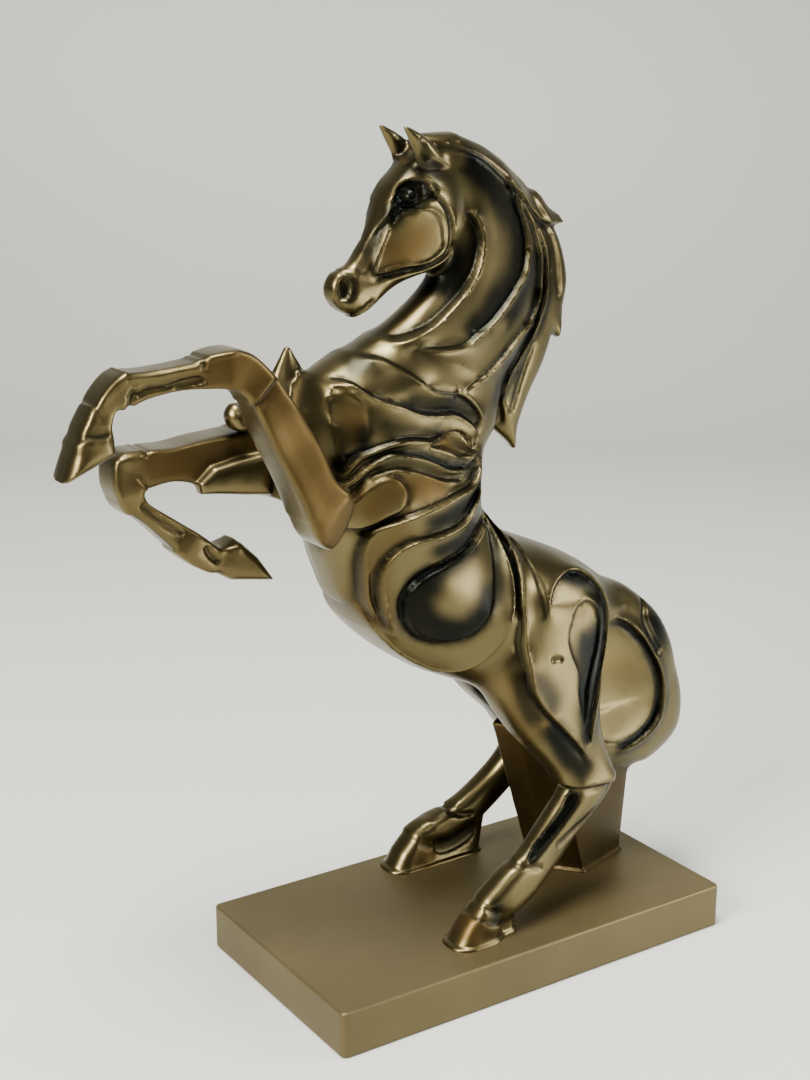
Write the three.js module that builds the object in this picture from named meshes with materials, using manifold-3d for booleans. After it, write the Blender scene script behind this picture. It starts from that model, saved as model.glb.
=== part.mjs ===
// A rearing horse cast in bronze, on a rectangular plinth. Millimetres, +Z up, the head towards -X and the
// horse's left flank towards -Y. The origin is the middle of the plinth's underside.
//
// The horse is drawn in side view, in millimetres at DRAWN_HEIGHT, with x along the plinth and z above the
// ground. Every form is a run of pairs across it, [x, z, x, z, y, half-width], from one edge of the form to the
// other. The forms are blended into one skin, the carving of the side view is laid on it, and the skin is
// turned into facets.
import * as THREE from "three";
import { mergeVertices } from "three/addons/utils/BufferGeometryUtils.js";
import Module from "manifold-3d";

// Driving dimensions
const PLINTH_LENGTH = 220;
const PLINTH_WIDTH = 121;
const PLINTH_HEIGHT = 22;
const PLINTH_CORNER = 3;
const PLINTH_BEVEL = 1.2;
const HORSE_HEIGHT = 370;

// The drawing
const DRAWN_HEIGHT = 370;
const CELL = 2.2;
const MARGIN = 8;
const BELOW_GROUND = -6;
const FACETS = 9400;
const HOLD = 0.002; // how strongly a vertex keeps its place on a flat stretch
const THINNEST = 1.5; // the least half-breadth of a form
const FILLED = -0.05; // the distance given to a grid point that is filled

// The same form further along the plinth and to the side
function moved(pairs, forward, sideways) {
  return pairs.map(([x1, z1, x2, z2, y, width]) => [x1 + forward, z1, x2 + forward, z2, y + sideways, width]);
}

const TRUNK = [
  [6, 240, -74, 274, 0, 25],
  [0, 228, -90, 257, 0, 31],
  [-5, 214, -93, 233, 0, 34],
  [-4, 201, -91, 209, 0, 36],
  [6, 189, -83, 181, 0, 36],
  [24, 181, -68, 152, 0, 36],
  [44, 173, -46, 132, 0, 35],
  [60, 165, -22, 119, 0, 34],
  [74, 152, 4, 111, 0, 30],
  [84, 138, 24, 108, 0, 26],
];
const NECK = [
  [0, 232, -87, 260, 0, 30],
  [9, 246, -71, 273, 0, 26],
  [20, 264, -54, 283, 0, 21],
  [29, 286, -37, 293, 0, 18],
  [32, 310, -22, 308, 0, 16],
  [27, 332, -20, 320, 0, 15],
  [16, 350, -20, 336, 0, 14],
  [0, 362, -24, 348, 0, 13],
  [-16, 366, -34, 354, 0, 11],
];
const HEAD = [
  [-38, 357, -10, 348, 0, 10],
  [-45, 350, -14, 336, 0, 12],
  [-50, 344, -17, 324, 0, 13.5],
  [-54, 335, -20, 312, 0, 13.5],
  [-58, 326, -30, 306, 0, 11.5],
  [-63, 318, -41, 304, 0, 9.5],
  [-68, 312, -48, 301, 0, 8],
  [-75, 309, -53, 295, 0, 8],
  [-78, 302, -60, 291, 0, 7.5],
  [-74, 294, -65, 289.5, 0, 6],
];
const EAR = [
  [-45, 370.5, -44, 370.5, 9.5, 1.5],
  [-42, 364, -37, 367, 9.5, 3],
  [-39, 358, -28, 360, 9, 4],
  [-37, 352, -21, 351, 8, 5],
];
const LEFT_FORELEG = [
  [-88, 220, -99, 201, -28, 12],
  [-98, 231, -107, 206, -32, 11.5],
  [-104, 245, -114, 220, -32, 10.5],
  [-111, 257, -121, 236, -31, 10],
  [-118, 268, -128, 250, -31, 10],
  [-125, 278, -133, 262, -30, 9.5],
  [-134, 286, -137, 269, -29, 9.5],
  [-143, 288, -143, 272, -29, 9.5],
  [-153, 286, -152, 273, -28, 8],
  [-165, 284, -165, 273, -27, 7.5],
  [-177, 283, -177, 271, -26, 7.5],
  [-185, 283, -185, 268, -25, 8.5],
  [-192, 278, -189, 268, -25, 8],
  [-197, 270, -192, 263, -25, 8],
];
const LEFT_FORE_HOOF = [
  [-199, 271, -191, 265, -25, 7.5],
  [-205, 260, -190, 257, -25, 9],
  [-212, 242, -190, 251, -25, 11],
];
const FAR_SHOULDER = [
  [-86, 276, -84, 276, 22, 1.5],
  [-93, 264, -79, 268, 22, 4],
  [-97, 252, -74, 256, 22, 8],
  [-98, 240, -70, 244, 21, 11],
  [-94, 230, -70, 234, 20, 12],
];
const FAR_KNOB = [
  [-113, 254, -107, 253, 22, 4],
  [-116, 249, -104, 248, 22, 6],
  [-113, 243, -107, 242, 22, 6],
];
const FAR_ELBOW = [
  [-131, 222, -130, 217, 21, 4],
  [-124, 228, -122, 216, 21, 5],
  [-112, 230, -110, 214, 21, 5],
  [-96, 232, -96, 212, 21, 6],
];
const RIGHT_FORELEG = [
  [-80, 242, -80, 206, 28, 12],
  [-98, 242, -97, 211, 32, 12],
  [-113, 241, -113, 215, 33, 11],
  [-126, 240, -126, 219, 32, 10.5],
  [-139, 238, -140, 223, 31, 10],
  [-153, 239, -151, 222, 30, 9.5],
  [-166, 238, -155, 221, 29, 9.5],
  [-169, 226, -154, 217, 28, 9.5],
  [-166, 215, -151, 214, 28, 9],
  [-156, 206, -144, 209, 27, 8],
  [-148, 198, -137, 204, 27, 7.5],
  [-140, 190, -130, 199, 26, 8],
  [-132, 184, -124, 194, 26, 8],
  [-124, 181, -119, 190, 26, 7.5],
];
const RIGHT_FORE_HOOF = [
  [-126, 182, -119, 192, 26, 7.5],
  [-116, 176, -113, 195, 26, 9],
  [-95, 173, -103, 185, 26, 11],
];
const LEFT_HIND_LEG = [
  [48, 168, 14, 172, -14, 18],
  [58, 155, 4, 158, -18, 20],
  [58, 137, 1, 140, -20, 20],
  [55, 119, -8, 124, -22, 19],
  [52, 104, -6, 108, -25, 17],
  [51, 90, 6, 90, -28, 14],
  [55, 77, 18, 77, -31, 11],
  [60, 64, 28, 63, -33, 9],
  [50, 50, 22, 55, -34, 8],
  [36, 39, 13, 46, -35, 7.5],
  [24, 28, 4, 38, -36, 7.5],
  [14, 20, -6, 32, -37, 8],
  [5, 13, -14, 26, -37, 8.5],
  [-8, 8, -22, 18, -37, 8],
];
const RIGHT_HIND_LEG = [
  [48, 168, 14, 172, 14, 18],
  [58, 155, 4, 158, 18, 20],
  [58, 137, 1, 140, 20, 20],
  [56, 119, -3, 122, 23, 19],
  [58, 104, 6, 104, 27, 17],
  [61, 90, 22, 88, 31, 14],
  [67, 77, 38, 73, 34, 11],
  [72, 62, 48, 56, 37, 9],
  [63, 44, 43, 47, 39, 8],
  [51, 31, 33, 38, 41, 7.5],
  [39, 21, 21, 30, 42, 7.5],
  [27, 14, 8, 25, 43, 8],
  [14, 10, -5, 21, 44, 8.5],
  [4, 8, -12, 17, 45, 8],
];
const HIND_HOOF = [
  [-11, 13, -23, 18, 0, 8],
  [-12, 4, -32, 9, 0, 9],
  [-13, -6, -41, -6, 0, 10],
];
const LEFT_HIND_HOOF = moved(HIND_HOOF, 0, -37);
const RIGHT_HIND_HOOF = moved(HIND_HOOF, 18, 45);
const LEFT_WEB = [
  [-1, 18, -12, 16, -37, 4],
  [-2, 8, -14, 8, -37, 4],
  [-3, -6, -18, -6, -37, 5],
];
const RIGHT_WEB = [
  [40, 26, 4, 18, 42, 4],
  [36, 10, 2, 10, 41, 4],
  [32, -6, -2, -6, 40, 5],
];
const TAIL = [
  [68, 151, 46, 136, 0, 14],
  [83, 149, 44, 118, 0, 17],
  [97, 140, 44, 100, 0, 18],
  [109, 129, 45, 84, 0, 19],
  [118, 114, 50, 70, 0, 19],
  [123, 98, 62, 58, 0, 18],
  [127, 84, 78, 54, 0, 17],
  [127, 69, 92, 50, 0, 15],
  [122, 59, 104, 49, 0, 12],
];
const POST_FOOT = [[46, 12], [50, 3], [62, -12], [94, -2], [98, 12], [84, 26], [60, 24]];
const POST_HEAD = [[18, 8], [24, -5], [38, -15], [94, -10], [100, 10], [84, 22], [38, 22]];
const POST_HEIGHT = 84;
const CREST = [
  [-34, 365, -30, 354, 0, 8],
  [-21, 367, -20, 352, 0, 10],
  [-8, 364, -9, 344, 0, 10],
  [5, 356, 0, 336, 0, 9],
  [18, 347, 8, 328, 0, 8],
  [32, 336, 16, 318, 0, 7],
  [46, 325, 28, 316, 0, 5],
];
const LOCK = [
  [30, 340, 8, 332, 0, 8],
  [41, 324, 14, 316, 0, 8],
  [47, 312, 17, 300, 0, 7],
  [50, 298, 19, 284, 0, 6.5],
  [48, 286, 26, 272, 0, 6],
  [46, 272, 41, 275, 0, 4],
];
const LOWER_LOCK = [
  [44, 300, 8, 296, 0, 8],
  [43, 280, 6, 276, 0, 8],
  [37, 262, 3, 258, 0, 8],
  [28, 246, 3, 244, 0, 7],
  [23, 232, 8, 235, 0, 5],
  [22, 222, 18, 226, 0, 3],
];

// The carving, in the side view. A fold is a line with a lip on its left hand, which falls away over `width`,
// and a groove on its right hand. A pad is an outline that swells by `height`, or sinks where that is negative.
const BODY_CARVING = [
  { fold: [[-13, 334], [-7, 321], [-9, 310], [-19, 295], [-34, 285], [-57, 278]], height: 1.8, width: 14 },
  { fold: [[14, 336], [16, 316], [8, 295], [-7, 282], [-23, 276], [-44, 277]], height: 1.8, width: 11 },
  { fold: [[27, 303], [24, 284], [4, 272], [-12, 261], [-26, 256]], height: 1.8, width: 10 },
  { groove: [[-60, 275], [-54, 269], [-43, 260], [-26, 256]], depth: 1.6, width: 6 },
  { fold: [[-28, 257], [-18, 253], [-11, 244], [-9, 234]], height: 1.5, width: 6 },
  { fold: [[-19, 227], [-15, 236], [-24, 245], [-45, 250], [-61, 257], [-74, 264], [-86, 265]], height: 2.2, width: 9 },
  { pad: [[-86, 262], [-80, 264], [-75, 256], [-76, 246], [-80, 237], [-86, 236], [-88, 250]], height: -5, rim: 6 },
  { groove: [[-96, 233], [-80, 236], [-67, 242], [-51, 241], [-41, 241]], depth: 3, width: 5 },
  { pad: [[-46, 237], [-37, 241], [-25, 239], [-19, 233], [-24, 228], [-35, 231]], height: -3, rim: 4 },
  { groove: [[-92, 229], [-77, 232], [-66, 237], [-50, 233], [-36, 228], [-22, 225]], depth: 2.4, width: 4 },
  { fold: [[-95, 225], [-79, 225], [-67, 231], [-52, 227], [-40, 222], [-26, 221]], height: 1.6, width: 5 },
  { pad: [[-83, 204], [-84, 214], [-77, 223], [-66, 226], [-60, 219], [-64, 211], [-72, 206]], height: 2.2, rim: 7 },
  { groove: [[-16, 222], [-30, 218], [-49, 214], [-64, 210], [-76, 203], [-79, 190], [-72, 168]], depth: 2.8, width: 6 },
  { fold: [[-16, 221], [-28, 207], [-44, 201], [-60, 196], [-69, 186], [-69, 172], [-57, 149]], height: 1.8, width: 9 },
  {
    pad: [[-15, 208], [-26, 195], [-46, 186], [-58, 178], [-60, 167], [-50, 150], [-36, 144], [-21, 155], [-14, 176]],
    height: 2.6,
    rim: 12,
    groove: 1.8,
  },
  {
    fold: [[-72, 168], [-58, 148], [-36, 130], [-19, 129], [-5, 147], [1, 165], [0, 182], [-9, 203]],
    height: 2,
    width: 12,
  },
  { groove: [[-9, 206], [3, 183], [4, 166], [3, 148], [2, 138]], depth: 2, width: 4 },
  { fold: [[3, 174], [5, 157], [3, 138], [3, 120], [11, 108], [28, 93], [41, 75]], height: 2.2, width: 12 },
  { fold: [[12, 180], [16, 168], [14, 150], [17, 133]], height: 1.4, width: 9 },
  {
    fold: [[40, 86], [42, 110], [50, 132], [51, 150], [45, 165], [33, 168], [20, 163], [14, 152]],
    height: 2.4,
    width: 9,
  },
  {
    pad: [[26, 146], [31, 156], [39, 155], [43, 140], [40, 120], [36, 100], [30, 107], [29, 122], [25, 133]],
    height: -2.6,
    rim: 4,
  },
];
const HEAD_CARVING = [
  { pad: [[-49, 334], [-37, 336], [-29, 330], [-28, 319], [-36, 313], [-60, 308], [-55, 321]], height: -2.2, rim: 3 },
  { pad: [[-50, 341], [-44, 346], [-38, 341], [-44, 336]], height: 1.6, rim: 5, groove: 0.6 },
  { groove: [[-49, 339], [-56, 327], [-64, 316], [-72, 308]], depth: 1, width: 3 },
  { pad: [[-73, 306], [-75, 303], [-72, 300], [-70, 304]], height: -3, rim: 2 },
  { groove: [[-73, 296], [-66, 297], [-61, 300]], depth: 1.4, width: 2.5 },
];
const MANE_CARVING = [
  { fold: [[-30, 361], [-18, 359], [-1, 351], [16, 338], [28, 324]], height: 1.4, width: 8 },
  { fold: [[12, 338], [24, 322], [32, 305], [31, 288], [22, 266], [12, 246]], height: 1.6, width: 7 },
  { groove: [[24, 328], [36, 312], [40, 298], [38, 284]], depth: 1.4, width: 4 },
];
const TAIL_CARVING = [
  {
    pad: [[52, 130], [66, 132], [84, 124], [98, 108], [105, 90], [100, 72], [84, 67], [64, 74], [50, 86]],
    height: -5,
    rim: 14,
    groove: 0,
  },
  { groove: [[50, 139], [80, 128], [98, 112], [107, 90], [102, 70], [84, 62]], depth: 1.6, width: 4 },
];

// Lines and outlines of the side view

function line(points, closed, smooth) {
  if (!smooth) return points;
  const knots = points.map(([x, z]) => new THREE.Vector3(x, 0, z));
  const curve = new THREE.CatmullRomCurve3(knots, closed, "centripetal");
  return curve.getPoints(points.length * 4).map((p) => [p.x, p.z]);
}

// The nearest place of a polyline to (x, z): its distance, how far along it lies, and the side that it is on
function nearest(points, closed, x, z) {
  let best = Infinity;
  let along = 0;
  let side = 1;
  let crossings = 0;
  const last = closed ? points.length : points.length - 1;
  for (let i = 0; i < last; i++) {
    const [x1, z1] = points[i];
    const [x2, z2] = points[(i + 1) % points.length];
    const dx = x2 - x1;
    const dz = z2 - z1;
    const length2 = dx * dx + dz * dz || 1e-9;
    const t = Math.min(1, Math.max(0, ((x - x1) * dx + (z - z1) * dz) / length2));
    const away = Math.hypot(x - x1 - t * dx, z - z1 - t * dz);
    if (away < best) {
      best = away;
      along = i + t;
      side = dx * (z - z1) - dz * (x - x1) >= 0 ? 1 : -1;
    }
    if (z1 > z !== z2 > z && x < x1 + ((z - z1) / dz) * dx) crossings++;
  }
  return { away: best, along: along / last, side, inside: crossings % 2 === 1 };
}

// Forms

function form(pairs, { power = 2.2, blend = 8, smooth = true, carving = null } = {}) {
  const near = pairs.map(([x, z]) => [x, z]);
  const far = pairs.map(([, , x, z]) => [x, z]).reverse();
  const middles = pairs.map(([x1, z1, x2, z2]) => [(x1 + x2) / 2, (z1 + z2) / 2]);
  const axis = line(middles, false, true);
  const sizes = pairs.map(([x1, z1, x2, z2, y, width]) => {
    return new THREE.Vector3(y, width, Math.max(THINNEST, Math.hypot(x1 - x2, z1 - z2) / 2));
  });
  const alongSizes = new THREE.CatmullRomCurve3(sizes, false, "centripetal");
  const outline = line([...near, ...far], true, smooth);
  const xs = outline.map((p) => p[0]);
  const zs = outline.map((p) => p[1]);
  const ys = pairs.flatMap(([, , , , y, width]) => [y - width, y + width]);
  const box = new THREE.Box3(
    new THREE.Vector3(Math.min(...xs), Math.min(...ys), Math.min(...zs)),
    new THREE.Vector3(Math.max(...xs), Math.max(...ys), Math.max(...zs)),
  ).expandByScalar(MARGIN);
  const at = (x, z) => {
    const { away, inside } = nearest(outline, true, x, z);
    const { along } = nearest(axis, false, x, z);
    const size = alongSizes.getPoint(along);
    return { deep: inside ? away : -away, y: size.x, width: size.y, radius: size.z };
  };
  return { at, box, power, blend, carving };
}

function mirrored(pairs) {
  return pairs.map(([x1, z1, x2, z2, y, width]) => [x1, z1, x2, z2, -y, width]);
}

const forms = [
  form(TRUNK, { power: 2.3, carving: BODY_CARVING }),
  form(NECK, { blend: 10, carving: BODY_CARVING }),
  form(HEAD, { power: 2.8, blend: 5, carving: HEAD_CARVING }),
  form(CREST, { blend: 4, carving: MANE_CARVING }),
  form(LOCK, { blend: 3, carving: MANE_CARVING }),
  form(LOWER_LOCK, { blend: 3, carving: MANE_CARVING }),
  form(EAR, { blend: 2, power: 2 }),
  form(mirrored(EAR), { blend: 2, power: 2 }),
  form(LEFT_FORELEG, { power: 7, blend: 5 }),
  form(RIGHT_FORELEG, { power: 7, blend: 5 }),
  form(FAR_SHOULDER, { power: 2.5, blend: 3, smooth: false }),
  form(FAR_KNOB, { blend: 2 }),
  form(FAR_ELBOW, { power: 3, blend: 2, smooth: false }),
  form(LEFT_FORE_HOOF, { power: 4, blend: 2, smooth: false }),
  form(RIGHT_FORE_HOOF, { power: 4, blend: 2, smooth: false }),
  form(LEFT_HIND_LEG, { power: 2.8, blend: 6, carving: BODY_CARVING }),
  form(RIGHT_HIND_LEG, { power: 2.8, blend: 6, carving: BODY_CARVING }),
  form(LEFT_HIND_HOOF, { power: 3, blend: 2, smooth: false }),
  form(RIGHT_HIND_HOOF, { power: 3, blend: 2, smooth: false }),
  form(LEFT_WEB, { power: 3, blend: 3, smooth: false }),
  form(RIGHT_WEB, { power: 3, blend: 3, smooth: false }),
  form(TAIL, { power: 3, blend: 4, carving: TAIL_CARVING }),
];

// The skin: a grid of distances, each form blended into what is there

const room = forms.reduce((all, { box }) => all.union(box), new THREE.Box3());
room.min.z = BELOW_GROUND - MARGIN;
const count = room.getSize(new THREE.Vector3()).divideScalar(CELL).ceil().addScalar(1);
const [NX, NY, NZ] = [count.x, count.y, count.z];
const field = new Float32Array(NX * NY * NZ).fill(MARGIN);

function index(i, j, k) {
  return (k * NY + j) * NX + i;
}

// A smooth union of what is at grid point n with a form that is `away` from it
function blendIn(n, away, blend) {
  const overlap = Math.max(blend - Math.abs(field[n] - away), 0) / blend;
  field[n] = Math.min(field[n], away) - (overlap * overlap * blend) / 4;
}

// Carving: how far the skin is raised above (x, z) of the side view

const EDGE = 1.1; // half of the width over which a lip rises out of its groove
const UNDERCUT = 0.8; // how deep the skin dips along the foot of a lip
const UNDERCUT_WIDTH = 5;
const PAD_GROOVE_WIDTH = 3;
const FADE = 0.12; // the share of a line at each end over which it rises from nothing

function ramp(value, from, to) {
  return THREE.MathUtils.smoothstep(value, from, to);
}

function carved(mark, x, z) {
  const closed = Boolean(mark.pad);
  const { away, along, side, inside } = nearest(mark.line, closed, x, z);
  if (closed) {
    const { height, rim, groove = 1 } = mark;
    if (!inside) return -groove * Math.max(0, 1 - away / PAD_GROOVE_WIDTH);
    const t = Math.min(1, away / rim);
    return height * Math.sqrt(1 - (1 - t) ** 2) - groove * (1 - ramp(t, 0, 0.5));
  }
  const ends = ramp(along, 0, FADE) * ramp(1 - along, 0, FADE);
  if (mark.groove) return -mark.depth * ends * Math.max(0, 1 - (away / mark.width) ** 2);
  const across = away * side;
  const lip = mark.height * Math.max(0, 1 - Math.max(0, across) / mark.width) ** 1.5;
  const under = -UNDERCUT * Math.max(0, 1 + Math.min(0, across) / UNDERCUT_WIDTH);
  return ends * (under + (lip - under) * ramp(across, -EDGE, EDGE));
}

function reliefOf(carving) {
  const map = new Float32Array(NX * NZ);
  for (const mark of carving) {
    mark.line = line(mark.fold ?? mark.pad ?? mark.groove, Boolean(mark.pad), true);
    const reach = Math.max(UNDERCUT_WIDTH + EDGE, mark.width ?? 0);
    const xs = mark.line.map((q) => q[0]);
    const zs = mark.line.map((q) => q[1]);
    for (let k = 0; k < NZ; k++) {
      const z = room.min.z + k * CELL;
      if (z < Math.min(...zs) - reach || z > Math.max(...zs) + reach) continue;
      for (let i = 0; i < NX; i++) {
        const x = room.min.x + i * CELL;
        if (x < Math.min(...xs) - reach || x > Math.max(...xs) + reach) continue;
        map[k * NX + i] += carved(mark, x, z);
      }
    }
  }
  return map;
}
const reliefs = new Map([BODY_CARVING, HEAD_CARVING, MANE_CARVING, TAIL_CARVING].map((c) => [c, reliefOf(c)]));

function place(form) {
  const from = form.box.min.clone().sub(room.min).divideScalar(CELL).ceil().max(new THREE.Vector3());
  const to = form.box.max.clone().sub(room.min).divideScalar(CELL).floor();
  const p = form.power;
  for (let k = from.z; k <= Math.min(to.z, NZ - 1); k++) {
    for (let i = from.x; i <= Math.min(to.x, NX - 1); i++) {
      const x = room.min.x + i * CELL;
      const z = room.min.z + k * CELL;
      const { deep, y: middle, width, radius } = form.at(x, z);
      if (deep < -MARGIN) continue;
      const u = Math.max(0, 1 - deep / radius);
      const raised = form.carving ? reliefs.get(form.carving)[k * NX + i] : 0;
      for (let j = from.y; j <= Math.min(to.y, NY - 1); j++) {
        const v = Math.abs(room.min.y + j * CELL - middle) / width;
        const reach = (u ** p + v ** p) ** (1 / p);
        let away = -Math.min(radius, width);
        if (reach > 0.05) {
          const slope = Math.hypot((u / reach) ** (p - 1) / radius, (v / reach) ** (p - 1) / width);
          away = (reach - 1) / slope;
        }
        blendIn(index(i, j, k), away - raised, form.blend);
      }
    }
  }
}
forms.forEach(place);

// The post under the tail, a prism whose outline changes from foot to head
function placePost(foot, head, height, blend) {
  const xs = [...foot, ...head].map((p) => p[0]);
  const from = Math.min(...xs) - MARGIN;
  const to = Math.max(...xs) + MARGIN;
  for (let k = 0; k < NZ; k++) {
    const z = room.min.z + k * CELL;
    if (z > height + MARGIN) continue;
    const t = Math.min(1, Math.max(0, z / height));
    const outline = foot.map(([x, y], i) => [x + (head[i][0] - x) * t, y + (head[i][1] - y) * t]);
    for (let j = 0; j < NY; j++) {
      for (let i = 0; i < NX; i++) {
        const x = room.min.x + i * CELL;
        const y = room.min.y + j * CELL;
        if (x < from || x > to) continue;
        const { away, inside } = nearest(outline, true, x, y);
        blendIn(index(i, j, k), Math.max(inside ? -away : away, z - height, BELOW_GROUND - z), blend);
      }
    }
  }
}
placePost(POST_FOOT, POST_HEAD, POST_HEIGHT, 6);

// Surface nets: one vertex in each cell that the skin crosses, one quad for each grid edge that it crosses

const CORNERS = [0, 1, 2, 3, 4, 5, 6, 7].map((c) => [c & 1, (c >> 1) & 1, c >> 2]);
const EDGES = CORNERS.flatMap((a, i) => CORNERS.map((b, j) => [i, j])).filter(
  ([i, j]) => i < j && [1, 2, 4].includes(i ^ j),
);

function joined(mask, wanted) {
  const members = [0, 1, 2, 3, 4, 5, 6, 7].filter((c) => ((mask >> c) & 1) === wanted);
  const seen = new Set(members.slice(0, 1));
  for (const c of seen) {
    for (const bit of [1, 2, 4]) {
      if (members.includes(c ^ bit)) seen.add(c ^ bit);
    }
  }
  return seen.size === members.length;
}
const SIMPLE = Array.from({ length: 256 }, (_, mask) => joined(mask, 0) && joined(mask, 1));

const STEPS = CORNERS.map(([a, b, c]) => index(a, b, c));

// Which of a cell's corners are inside the skin, as one bit for each
function insideMask(n) {
  let mask = 0;
  for (let c = 0; c < 8; c++) {
    if (field[n + STEPS[c]] < 0) mask |= 1 << c;
  }
  return mask;
}

// Where a cell is crossed by two separate bits of skin, its nearest outside corner is filled
function clearCell(n) {
  if (SIMPLE[insideMask(n)]) return false;
  const outside = STEPS.map((step) => n + step).filter((m) => field[m] >= 0);
  const lowest = outside.reduce((a, b) => (field[b] < field[a] ? b : a));
  field[lowest] = FILLED;
  return true;
}

for (let again = true; again; ) {
  again = false;
  for (let k = 0; k < NZ - 1; k++) {
    for (let j = 0; j < NY - 1; j++) {
      for (let i = 0; i < NX - 1; i++) {
        if (clearCell(index(i, j, k))) again = true;
      }
    }
  }
}

function skin() {
  const vertices = [];
  const cellVertex = new Int32Array(NX * NY * NZ).fill(-1);
  for (let k = 0; k < NZ - 1; k++) {
    for (let j = 0; j < NY - 1; j++) {
      for (let i = 0; i < NX - 1; i++) {
        const n = index(i, j, k);
        const mask = insideMask(n);
        if (mask === 0 || mask === 255) continue;
        const values = STEPS.map((step) => field[n + step]);
        const sum = [0, 0, 0];
        let hits = 0;
        for (const [a, b] of EDGES) {
          if (values[a] < 0 === values[b] < 0) continue;
          const t = values[a] / (values[a] - values[b]);
          for (const axis of [0, 1, 2]) sum[axis] += CORNERS[a][axis] * (1 - t) + CORNERS[b][axis] * t;
          hits++;
        }
        if (!hits) continue;
        cellVertex[n] = vertices.length / 3;
        vertices.push(
          room.min.x + (i + sum[0] / hits) * CELL,
          room.min.y + (j + sum[1] / hits) * CELL,
          room.min.z + (k + sum[2] / hits) * CELL,
        );
      }
    }
  }
  const faces = [];
  const quad = (a, b, c, d, flip) => {
    const [p, q, r, s] = [a, b, c, d].map((n) => cellVertex[n]);
    if (flip) faces.push([p, r, q], [p, s, r]);
    else faces.push([p, q, r], [p, r, s]);
  };
  for (let k = 1; k < NZ - 1; k++) {
    for (let j = 1; j < NY - 1; j++) {
      for (let i = 1; i < NX - 1; i++) {
        const n = index(i, j, k);
        const inside = field[n] < 0;
        const [dx, dy, dz] = [1, NX, NX * NY];
        if (inside !== field[n + dx] < 0) quad(n - dy - dz, n - dz, n, n - dy, !inside);
        if (inside !== field[n + dy] < 0) quad(n - dx - dz, n - dx, n, n - dz, !inside);
        if (inside !== field[n + dz] < 0) quad(n - dx - dy, n - dy, n, n - dx, !inside);
      }
    }
  }
  return { vertices, faces };
}

// Edge collapses by quadric error, the cheapest first, until FACETS triangles are left

function simplify({ vertices, faces }, target) {
  const points = [];
  for (let i = 0; i < vertices.length; i += 3) points.push(vertices.slice(i, i + 3));
  const quadrics = points.map(() => new Float64Array(10));
  const around = points.map(() => new Set());
  const alive = new Uint8Array(faces.length).fill(1);
  const stamp = new Uint32Array(points.length);
  faces.forEach((face, f) => {
    const [p, q, r] = face.map((v) => points[v]);
    const [nx, ny, nz, area] = normal(p, q, r);
    const d = -(nx * p[0] + ny * p[1] + nz * p[2]);
    const plane = [nx * nx, nx * ny, nx * nz, nx * d, ny * ny, ny * nz, ny * d, nz * nz, nz * d, d * d];
    for (const v of face) {
      around[v].add(f);
      for (let i = 0; i < 10; i++) quadrics[v][i] += plane[i] * area;
    }
  });
  points.forEach(([x, y, z], v) => {
    const hold = [1, 0, 0, -x, 1, 0, -y, 1, -z, x * x + y * y + z * z];
    for (let i = 0; i < 10; i++) quadrics[v][i] += hold[i] * HOLD;
  });
  const heap = [];
  const push = (item) => {
    let i = heap.length;
    heap.push(item);
    while (i > 0) {
      const parent = (i - 1) >> 1;
      if (heap[parent].cost <= item.cost) break;
      heap[i] = heap[parent];
      i = parent;
    }
    heap[i] = item;
  };
  const pop = () => {
    const top = heap[0];
    const item = heap.pop();
    if (!heap.length) return top;
    let i = 0;
    for (;;) {
      let child = 2 * i + 1;
      if (child >= heap.length) break;
      if (child + 1 < heap.length && heap[child + 1].cost < heap[child].cost) child++;
      if (heap[child].cost >= item.cost) break;
      heap[i] = heap[child];
      i = child;
    }
    heap[i] = item;
    return top;
  };
  const offer = (a, b) => {
    const q = quadrics[a].map((value, i) => value + quadrics[b][i]);
    const best = lowest(q, points[a], points[b]);
    push({ a, b, at: best.at, cost: best.cost, stampA: stamp[a], stampB: stamp[b] });
  };
  const neighbours = (v) => {
    const set = new Set();
    for (const f of around[v]) for (const w of faces[f]) if (w !== v) set.add(w);
    return set;
  };
  points.forEach((_, a) => {
    for (const b of neighbours(a)) if (a < b) offer(a, b);
  });
  let left = faces.length;
  while (left > target && heap.length) {
    const { a, b, at, stampA, stampB } = pop();
    if (stamp[a] !== stampA || stamp[b] !== stampB) continue;
    const shared = [...around[a]].filter((f) => around[b].has(f));
    const nearA = neighbours(a);
    const common = [...neighbours(b)].filter((v) => nearA.has(v));
    if (shared.length !== 2 || common.length !== 2) continue;
    const kept = [...around[a], ...around[b]].filter((f) => !shared.includes(f));
    const folds = kept.some((f) => {
      const before = normal(...faces[f].map((v) => points[v]));
      const after = normal(...faces[f].map((v) => (v === a || v === b ? at : points[v])));
      return before[0] * after[0] + before[1] * after[1] + before[2] * after[2] < 0.3;
    });
    if (folds) continue;
    for (const f of shared) {
      alive[f] = 0;
      for (const v of faces[f]) around[v].delete(f);
    }
    for (const f of around[b]) {
      faces[f] = faces[f].map((v) => (v === b ? a : v));
      around[a].add(f);
    }
    around[b].clear();
    points[a] = at;
    for (let i = 0; i < 10; i++) quadrics[a][i] += quadrics[b][i];
    stamp[a]++;
    stamp[b]++;
    for (const v of neighbours(a)) offer(a, v);
    left -= 2;
  }
  return { vertices: points.flat(), faces: faces.filter((_, f) => alive[f]) };
}

function normal(p, q, r) {
  const [ax, ay, az] = [q[0] - p[0], q[1] - p[1], q[2] - p[2]];
  const [bx, by, bz] = [r[0] - p[0], r[1] - p[1], r[2] - p[2]];
  const n = [ay * bz - az * by, az * bx - ax * bz, ax * by - ay * bx];
  const size = Math.hypot(...n) || 1e-12;
  return [n[0] / size, n[1] / size, n[2] / size, size / 2];
}

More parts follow.
